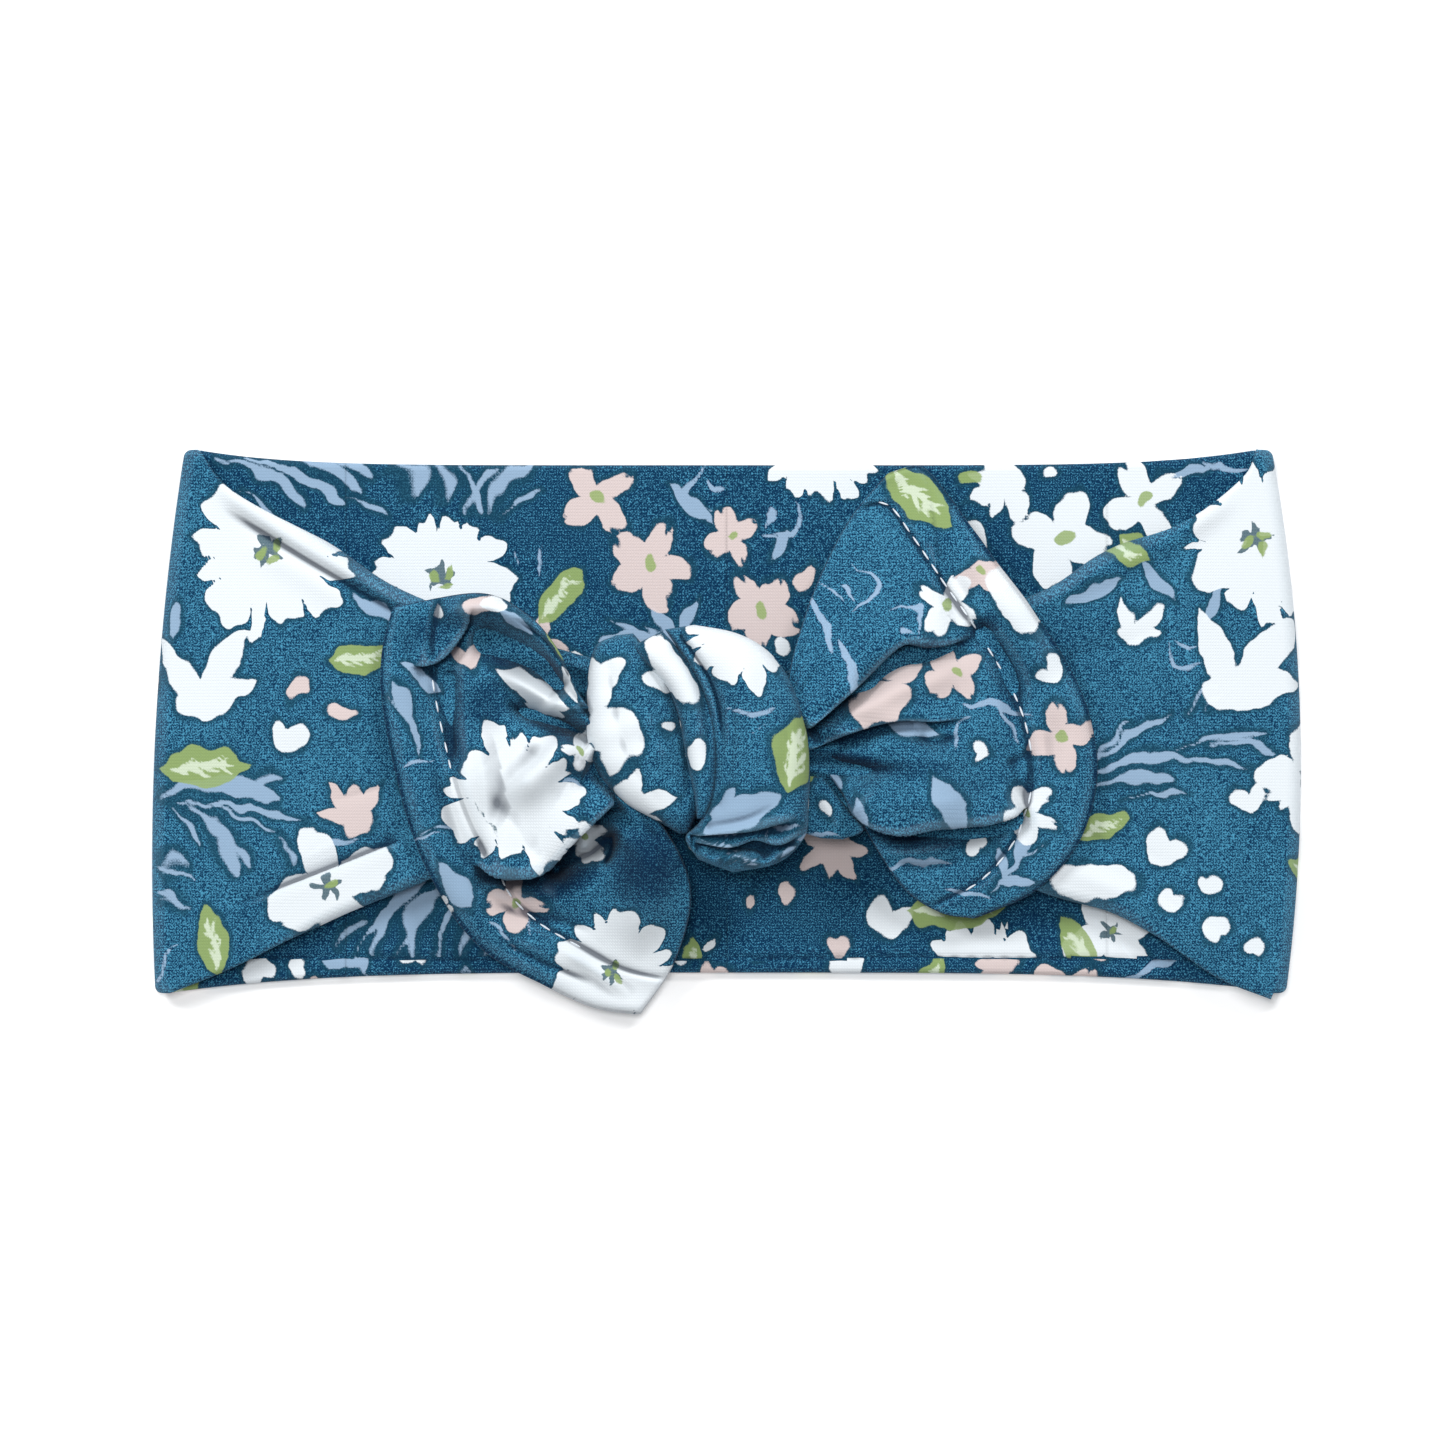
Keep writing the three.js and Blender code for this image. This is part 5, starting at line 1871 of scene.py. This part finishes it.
def left_tail() -> Tail:
    """The tail that falls to the lower left, cupped like a bowl with its hem for a rim."""
    chin = Line([(-14.5, -9, 11), (-9.6, -14.6, 11.6), (-6.2, -21.2, 12.2), (-5.7, -27.4, 10.4),
                 (-8.4, -36.2, 6.2), (-13.4, -43.8, 3)])
    crown = Line([(-20.2, 2.6, 13), (-23.6, 7.6, 14.2), (-26.4, 13.6, 13.8), (-31, 18.8, 12.8),
                  (-38.4, 22.2, 11.8), (-51.8, 20.2, 10.6)])
    throat = Line([(-14.5, -9, 11), (-18.6, -4.6, 12), (-20.2, 2.6, 13)])
    mouth = Line(
        [(-13.4, -43.8, 3), (-21, -42.5, 3.4), (-29.1, -38.7, 4.4), (-36.8, -34.4, 5.6), (-42.4, -28.2, 7),
         (-47.8, -18, 8.8), (-51, -7.5, 9.3), (-53.4, 4.5, 9.6), (-53.6, 12.6, 9.9), (-51.8, 20.2, 10.6)]
    )
    folds = [
        # The hem stands up as a rounded rim.
        Crinkle(Fold.RIDGE, [(-19, -38.6), (-28, -34.6), (-36, -29.6), (-42.6, -22.6), (-46.8, -12.6),
                             (-49.4, -2), (-50, 8), (-48.4, 15)], 1.5, 3.4, 3.0, fade=(0.2, 0.1)),
        # The top edge rolls in over a dark hollow.
        Crinkle(Fold.RIDGE, [(-21.6, 3.6), (-25, 10.6), (-29.6, 16.4), (-37.2, 19.8), (-45.5, 19.6)],
                4.2, 2.0, 1.8, fade=(0.05, 0.15)),
        Crinkle(Fold.CREASE, [(-24, 8.6), (-28.2, 14.6), (-33.6, 18.6)], 1.9, 0.35, 0.35, fade=(0.1, 0.3)),
        Crinkle(Fold.CREASE, [(-24.6, 6.4), (-29, 11), (-34, 13.8), (-40, 16.2)],
                7.6, 2.0, 1.6, fade=(0.1, 0.15)),
        Crinkle(Fold.PILLOW, [(-30, 4), (-30, -22)], 2.6, 17.0, 11.0),
        Crinkle(Fold.LEDGE, [(-49.6, 10.4), (-44.8, 12), (-41.6, 15.6), (-39.4, 20)],
                3.6, 4.0, 1.6, 1.3, (0.2, 0.2)),
        # The lit strip that runs to the knot, and the hollow under it.
        Crinkle(Fold.RIDGE, [(-20, 1), (-26, 4.6), (-33, 8.6), (-38.4, 10.6)],
                3.6, 1.5, 1.7, fade=(0.05, 0.35)),
        Crinkle(Fold.CREASE, [(-20.8, -0.8), (-25.6, 1.6), (-31, 3.4), (-36, 5.8)],
                6.6, 1.2, 1.3, fade=(0.05, 0.4)),
        # The big facets of the inside.
        Crinkle(Fold.RIDGE, [(-20.4, -3.4), (-25, -1.8), (-29.6, -5.6), (-35.6, -11.4)],
                4.0, 3.2, 1.9, fade=(0.05, 0.35)),
        Crinkle(Fold.CREASE, [(-28.6, -1), (-32.6, -6.4), (-36.6, -11.6), (-38.4, -15.6)],
                0.9, 2.2, 2.0, fade=(0.15, 0.35)),
        Crinkle(Fold.PILLOW, [(-42.6, 2), (-39.4, -16)], 3.4, 9.0, 3.6),
        Crinkle(Fold.CREASE, [(-43, 11), (-43, 2), (-42, -6)], 3.6, 0.8, 1.6, fade=(0.15, 0.3)),
        Crinkle(Fold.LEDGE, [(-40, -20), (-34.6, -21.8), (-28.8, -21), (-24.6, -16.6), (-17.2, -9.4)],
                7.4, 4.6, 2.6, 1.9, (0.15, 0.05)),
        Crinkle(Fold.CREASE, [(-29, -23), (-24.6, -20.4), (-20.6, -18), (-17, -14.4)],
                5.4, 1.6, 1.7, fade=(0.2, 0.2)),
        Crinkle(Fold.RIDGE, [(-20.2, -13.4), (-22.2, -16.4), (-22.4, -18.6)], 1.6, 1.0, 1.0, fade=(0.3, 0.2)),
        Crinkle(Fold.CREASE, [(-18, -14.8), (-18, -18), (-19.6, -21)], 2.6, 0.45, 0.5, fade=(0.2, 0.3)),
        # The smooth swelling at the lower right, and the hem's own lie.
        Crinkle(Fold.PILLOW, [(-12, -17), (-13, -29)], 4.0, 9.0, 5.0),
        Crinkle(Fold.CREASE, [(-36.6, -25.6), (-31.6, -28.4), (-26, -29), (-20, -31)],
                1.4, 1.4, 1.1, fade=(0.2, 0.5)),
        Crinkle(Fold.CREASE, [(-36, -31.8), (-28.6, -35.6), (-20.6, -39)], 0.9, 0.5, 0.8, fade=(0.2, 0.3)),
        Crinkle(Fold.RIDGE, [(-27, -33), (-20, -37.4), (-15, -41.6)], 0.8, 0.9, 0.9, fade=(0.3, 0.3)),
    ]
    # Painted shade in the tail's deep hollows: X, Y, two radii, turn in degrees, darkness.
    dusk = [
        (-35, 12.4, 7.6, 3.6, -32, 0.95),
        (-27.6, 10, 4.6, 2.2, -50, 0.9),
        (-27, 1.2, 7, 1.8, -24, 0.7),
        (-19.4, -16.8, 5.4, 3.2, 40, 0.95),
        (-26, -23.2, 8.4, 3, 20, 1),
        (-12.6, -20, 8.6, 7.6, 60, 1),
        (-41.6, 2, 12, 1.8, 90, 0.45),
        (-22.6, -5.4, 2.6, 4.6, 20, 0.6),
        (-46, 16.6, 6.4, 3.8, 20, 0.4),
        (-37.6, 4.6, 5, 5.6, 0, 0.6),
    ]
    return Tail(
        "left",
        chin,
        crown,
        throat,
        mouth,
        folds,
        Artwork.left_tail(),
        flat=(0.085, 0.036),
        stitched=[(0.2, 0.42), (0.66, 0.82)],
        dusk=dusk,
        rim_lift=1.2,
    )


def right_tail() -> Tail:
    """The tail that spreads to the upper right in three overlapping panels."""
    chin = Line([(11.2, -4.2, 13), (15.4, -5.6, 12.8), (21.2, -14.2, 11.8), (27.6, -23.8, 9),
                 (33.4, -27.8, 7.6), (38.6, -28.8, 7)])
    crown = Line([(9.4, 7.6, 13.6), (10.8, 14, 12.6), (14.4, 24.4, 9), (19.4, 34, 6.4), (25.2, 41, 5.4)])
    throat = Line([(11.2, -4.2, 13), (12.2, 0.8, 13.2), (9.4, 7.6, 13.6)])
    mouth = Line(
        [(38.6, -28.8, 7), (47.9, -24.4, 9), (54.4, -17.4, 9.8), (57.3, -9.2, 9.8), (57.4, -1.5, 9.8),
         (54.6, 8, 9.9), (47.9, 18.9, 10.4), (41.1, 28.1, 8.6), (35.3, 36.3, 6.6), (30.6, 41.8, 5.6),
         (25.2, 41, 5.4)]
    )
    folds = [
        Crinkle(Fold.LEDGE, [(11.6, 0.6), (17, 5.2), (21.6, 9.4), (25.2, 13), (28, 14.8), (31.4, 14.2),
                             (35.4, 14.4), (39.6, 16)], 6.8, 8.0, 3.4, 1.6, (0.05, 0.3)),
        Crinkle(Fold.CREASE, [(19.6, 7), (24.6, 11.2), (28.8, 12.8), (34.4, 13.4)],
                5.0, 1.0, 1.5, fade=(0.2, 0.3)),
        Crinkle(Fold.RIDGE, [(12, -0.4), (21, 4.6), (30, 8.4), (40, 10.6)], 2.0, 2.4, 2.4, fade=(0.1, 0.4)),
        Crinkle(Fold.LEDGE, [(11.4, -2.6), (19.8, 0.8), (27.1, 2.6), (33.4, 2.2), (39.6, 3)],
                3.8, 3.2, 2.2, 1.2, (0.05, 0.4)),
        Crinkle(Fold.CREASE, [(28.6, 0.4), (32.6, -1.2), (37.6, 0.4)], 2.4, 1.0, 1.0, fade=(0.3, 0.4)),
        Crinkle(Fold.CREASE, [(11.4, -3.6), (17.8, -4.8), (23.6, -5.4), (30, -5.2)],
                5.2, 1.0, 1.4, fade=(0.05, 0.6)),
        Crinkle(Fold.PILLOW, [(32, -2), (32, -10)], 3.0, 9.0, 8.0),
        Crinkle(Fold.RIDGE, [(17, -6.4), (24, -10), (33, -10.6), (43, -10)], 1.6, 2.2, 3.0, fade=(0.2, 0.3)),
        Crinkle(Fold.LEDGE, [(47.6, -11), (43, -12.8), (38.2, -13.6), (32.4, -14), (27.1, -15), (22, -13.4),
                             (18, -9.4)][::-1], 6.6, 5.0, 3.6, 1.9, (0.1, 0.1)),
        Crinkle(Fold.CREASE, [(25, -19), (31, -20.6), (39, -19)], 1.0, 1.0, 1.4, fade=(0.3, 0.4)),
        Crinkle(Fold.RIDGE, [(23, -17.6), (30, -18), (38, -16.6)], 0.8, 1.2, 1.2, fade=(0.3, 0.4)),
        Crinkle(Fold.CREASE, [(38.6, 19), (42.6, 14), (45.4, 8.6), (46.6, 2)],
                3.2, 0.8, 2.0, fade=(0.2, 0.4)),
        Crinkle(Fold.RIDGE, [(30, 36), (40, 25), (49, 12), (53, 0), (52.4, -9), (46, -20)],
                1.1, 3.0, 2.6, fade=(0.2, 0.2)),
        Crinkle(Fold.CREASE, [(43, -5), (46, -3.4), (48.2, -2.6)], 0.8, 0.7, 0.9, fade=(0.4, 0.3)),
    ]
    # Painted shade in the tail's deep hollows: X, Y, two radii, turn in degrees, darkness.
    dusk = [
        (30, 13.8, 5, 1.8, 8, 1),
        (22, 7.6, 9, 1.5, 42, 0.8),
        (39.6, 16.4, 5, 2.4, 40, 0.55),
        (18.6, -3.9, 8.6, 1.7, -6, 0.95),
        (29, -5.2, 9, 2.2, 0, 0.4),
        (22.6, 0.4, 9, 1.4, 20, 0.55),
        (33.6, -16.6, 12, 2, 4, 0.65),
        (20.4, -12, 4, 1.6, -56, 0.6),
        (44, 4, 8, 1.7, 100, 0.45),
    ]
    return Tail(
        "right",
        chin,
        crown,
        throat,
        mouth,
        folds,
        Artwork.right_tail(),
        flat=(0.085, 0.040),
        stitched=[(0.09, 0.3), (0.4, 0.95)],
        dusk=dusk,
        rim_lift=0.5,
    )


@dataclass(frozen=True)
class Topstitching:
    """A row of single stitches along a line on the cloth."""

    pitch: float = 2.7  # from one stitch to the next
    stitch: float = 1.95  # length of one stitch
    thread: float = 0.34  # thickness of the thread

    def tree(self, material: bpy.types.Material) -> bpy.types.NodeTree:
        """Builds the nodes that lay one stitch after another along the object's own line."""
        tree = bpy.data.node_groups.new("topstitching", "GeometryNodeTree")
        face = tree.interface
        face.new_socket("Line", in_out="INPUT", socket_type="NodeSocketGeometry")
        for label in ("Pitch", "Stitch length", "Thread width"):
            face.new_socket(label, in_out="INPUT", socket_type="NodeSocketFloat")
        face.new_socket("Stitches", in_out="OUTPUT", socket_type="NodeSocketGeometry")

        def add(kind: str, **settings: object) -> bpy.types.Node:
            """Adds a node with these settings."""
            made = tree.nodes.new(kind)
            for key, value in settings.items():
                setattr(made, key, value)
            return made

        start, end = add("NodeGroupInput"), add("NodeGroupOutput")
        curve, points = add("GeometryNodeMeshToCurve"), add("GeometryNodeCurveToPoints", mode="LENGTH")
        bead, shape = add("GeometryNodeMeshUVSphere"), add("ShaderNodeCombineXYZ")
        bead.inputs["Segments"].default_value = 8
        bead.inputs["Rings"].default_value = 6
        bead.inputs["Radius"].default_value = 0.5
        place, real = add("GeometryNodeInstanceOnPoints"), add("GeometryNodeRealizeInstances")
        dye = add("GeometryNodeSetMaterial")
        dye.inputs["Material"].default_value = material
        link = tree.links.new
        link(start.outputs["Line"], curve.inputs["Mesh"])
        link(curve.outputs["Curve"], points.inputs["Curve"])
        link(start.outputs["Pitch"], points.inputs["Length"])
        for axis, label in (("X", "Thread width"), ("Y", "Thread width"), ("Z", "Stitch length")):
            link(start.outputs[label], shape.inputs[axis])
        link(points.outputs["Points"], place.inputs["Points"])
        link(points.outputs["Rotation"], place.inputs["Rotation"])
        link(bead.outputs["Mesh"], place.inputs["Instance"])
        link(shape.outputs["Vector"], place.inputs["Scale"])
        link(place.outputs["Instances"], real.inputs["Geometry"])
        link(real.outputs["Geometry"], dye.inputs["Geometry"])
        link(dye.outputs["Geometry"], end.inputs["Stitches"])
        return tree

    def build(self, name: str, lines: list[Line], material: bpy.types.Material) -> bpy.types.Object:
        """Makes the lengths of a row as one plain mesh."""
        mesh = bpy.data.meshes.new(name)
        count = 160
        spots = np.concatenate([line.at(np.linspace(0.0, 1.0, count)) for line in lines])
        spots[:, 2] += 0.1  # so that the thread lies on the cloth
        links = [(k, k + 1) for k in range(len(spots) - 1) if (k + 1) % count]
        mesh.from_pydata((spots * MM).tolist(), links, [])
        carrier = bpy.data.objects.new(f"{name}_line", mesh)
        bpy.context.collection.objects.link(carrier)
        modifier = carrier.modifiers.new("stitches", "NODES")
        modifier.node_group = self.tree(material)
        sizes = {"Pitch": self.pitch, "Stitch length": self.stitch, "Thread width": self.thread}
        for item in modifier.node_group.interface.items_tree:
            if item.in_out == "INPUT" and item.name in sizes:
                modifier[item.identifier] = sizes[item.name] * MM
        bpy.context.view_layer.update()
        evaluated = carrier.evaluated_get(bpy.context.evaluated_depsgraph_get())
        made = bpy.data.meshes.new_from_object(evaluated)
        made.name = name
        made.shade_smooth()
        piece = bpy.data.objects.new(name, made)
        bpy.context.collection.objects.link(piece)
        bpy.data.objects.remove(carrier)
        return piece


def build_tails(cloth: bpy.types.Material, thread: bpy.types.Material) -> list[bpy.types.Object]:
    """Makes both tails and their topstitching, and ties them to the frame."""
    spare = Artwork.spare()
    pieces = []
    for tail in (left_tail(), right_tail()):
        piece, lines = tail.build(cloth, spare)
        body = f"{tail.name}_tail"
        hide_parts(f"{body}_upper_layer", f"{body}_lower_layer", f"{body}_hem")
        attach(piece, body)
        stitches = Topstitching().build(f"{body}_stitches", lines, thread)
        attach(stitches, body)
        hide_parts(f"{body}_topstitching")
        pieces.extend([piece, stitches])
    return pieces


# ---------------------------------------------------------------------------------------------
# The studio
# ---------------------------------------------------------------------------------------------


@dataclass(frozen=True)
class Studio:
    """A pale floor, soft daylight from above, and a camera that looks straight down."""

    view_width: float = 228.3  # of the surface, from side to side of the view
    aim: Point = (-0.63, 1.98)
    camera_height: float = 1000.0

    def floor(self) -> None:
        """Lays the floor."""
        mesh = bpy.data.meshes.new("floor")
        reach, level = 3.0, -0.0002  # metres
        corners = [(-reach, -reach), (reach, -reach), (reach, reach), (-reach, reach)]
        mesh.from_pydata([(x, y, level) for x, y in corners], [], [(0, 1, 2, 3)])
        mesh.materials.append(Paper().material())
        plane = bpy.data.objects.new("floor", mesh)
        bpy.context.collection.objects.link(plane)

    def lamp(self, name: str, place: tuple, size: float, power: float) -> None:
        """Hangs a square soft light that faces the band."""
        data = bpy.data.lights.new(name, "AREA")
        data.size, data.energy = size, power
        lamp = bpy.data.objects.new(name, data)
        lamp.location = place
        aim = -np.array(place)
        lamp.rotation_euler = (
            float(np.arctan2(np.hypot(aim[0], aim[1]), -aim[2])),
            0.0,
            float(np.arctan2(aim[1], aim[0]) - np.pi / 2),
        )
        bpy.context.collection.objects.link(lamp)

    def light(self) -> None:
        """Sets the sky and the lights."""
        world = bpy.data.worlds.new("daylight")
        world.use_nodes = True
        sky = world.node_tree.nodes["Background"]
        sky.inputs["Color"].default_value = (0.95, 0.97, 1.0, 1.0)
        sky.inputs["Strength"].default_value = 0.34
        bpy.context.scene.world = world
        self.lamp("left_window", (-0.7, 0.6, 0.9), 0.3, 7.4)
        self.lamp("right_window", (0.5, 0.8, 0.95), 0.3, 7.4)
        self.lamp("overhead", (-0.1, 0.2, 1.5), 0.35, 9.0)
        bpy.context.scene.view_settings.view_transform = "Standard"

    def camera(self) -> None:
        """Places the camera."""
        data = bpy.data.cameras.new("camera")
        data.sensor_width = 36.0
        data.lens = data.sensor_width * self.camera_height / self.view_width
        data.clip_start, data.clip_end = 0.01, 20.0
        camera = bpy.data.objects.new("camera", data)
        camera.location = (self.aim[0] * MM, self.aim[1] * MM, self.camera_height * MM)
        bpy.context.collection.objects.link(camera)
        bpy.context.scene.camera = camera


# ---------------------------------------------------------------------------------------------
# Putting it together
# ---------------------------------------------------------------------------------------------


def main() -> None:
    """Builds the headband and its studio."""
    logging.basicConfig(level=logging.INFO, format="%(name)s: %(message)s")
    cloth, thread = PrintedJersey().material(), Thread().material()
    studio = Studio()
    studio.floor()
    studio.light()
    studio.camera()
    pieces = LoopCloth(cloth, box_at_load).build()
    pieces += KnotCloth(cloth).build()
    pieces += build_tails(cloth, thread)
    for piece in pieces:
        LOG.info("%s: %d faces", piece.name, len(piece.data.polygons))


def plain(box: Sequence[Sequence[float]]) -> list[list[float]]:
    """A box as plain lists of numbers."""
    return [[float(value) for value in corner] for corner in box]


if __name__ == "__main__":
    main()
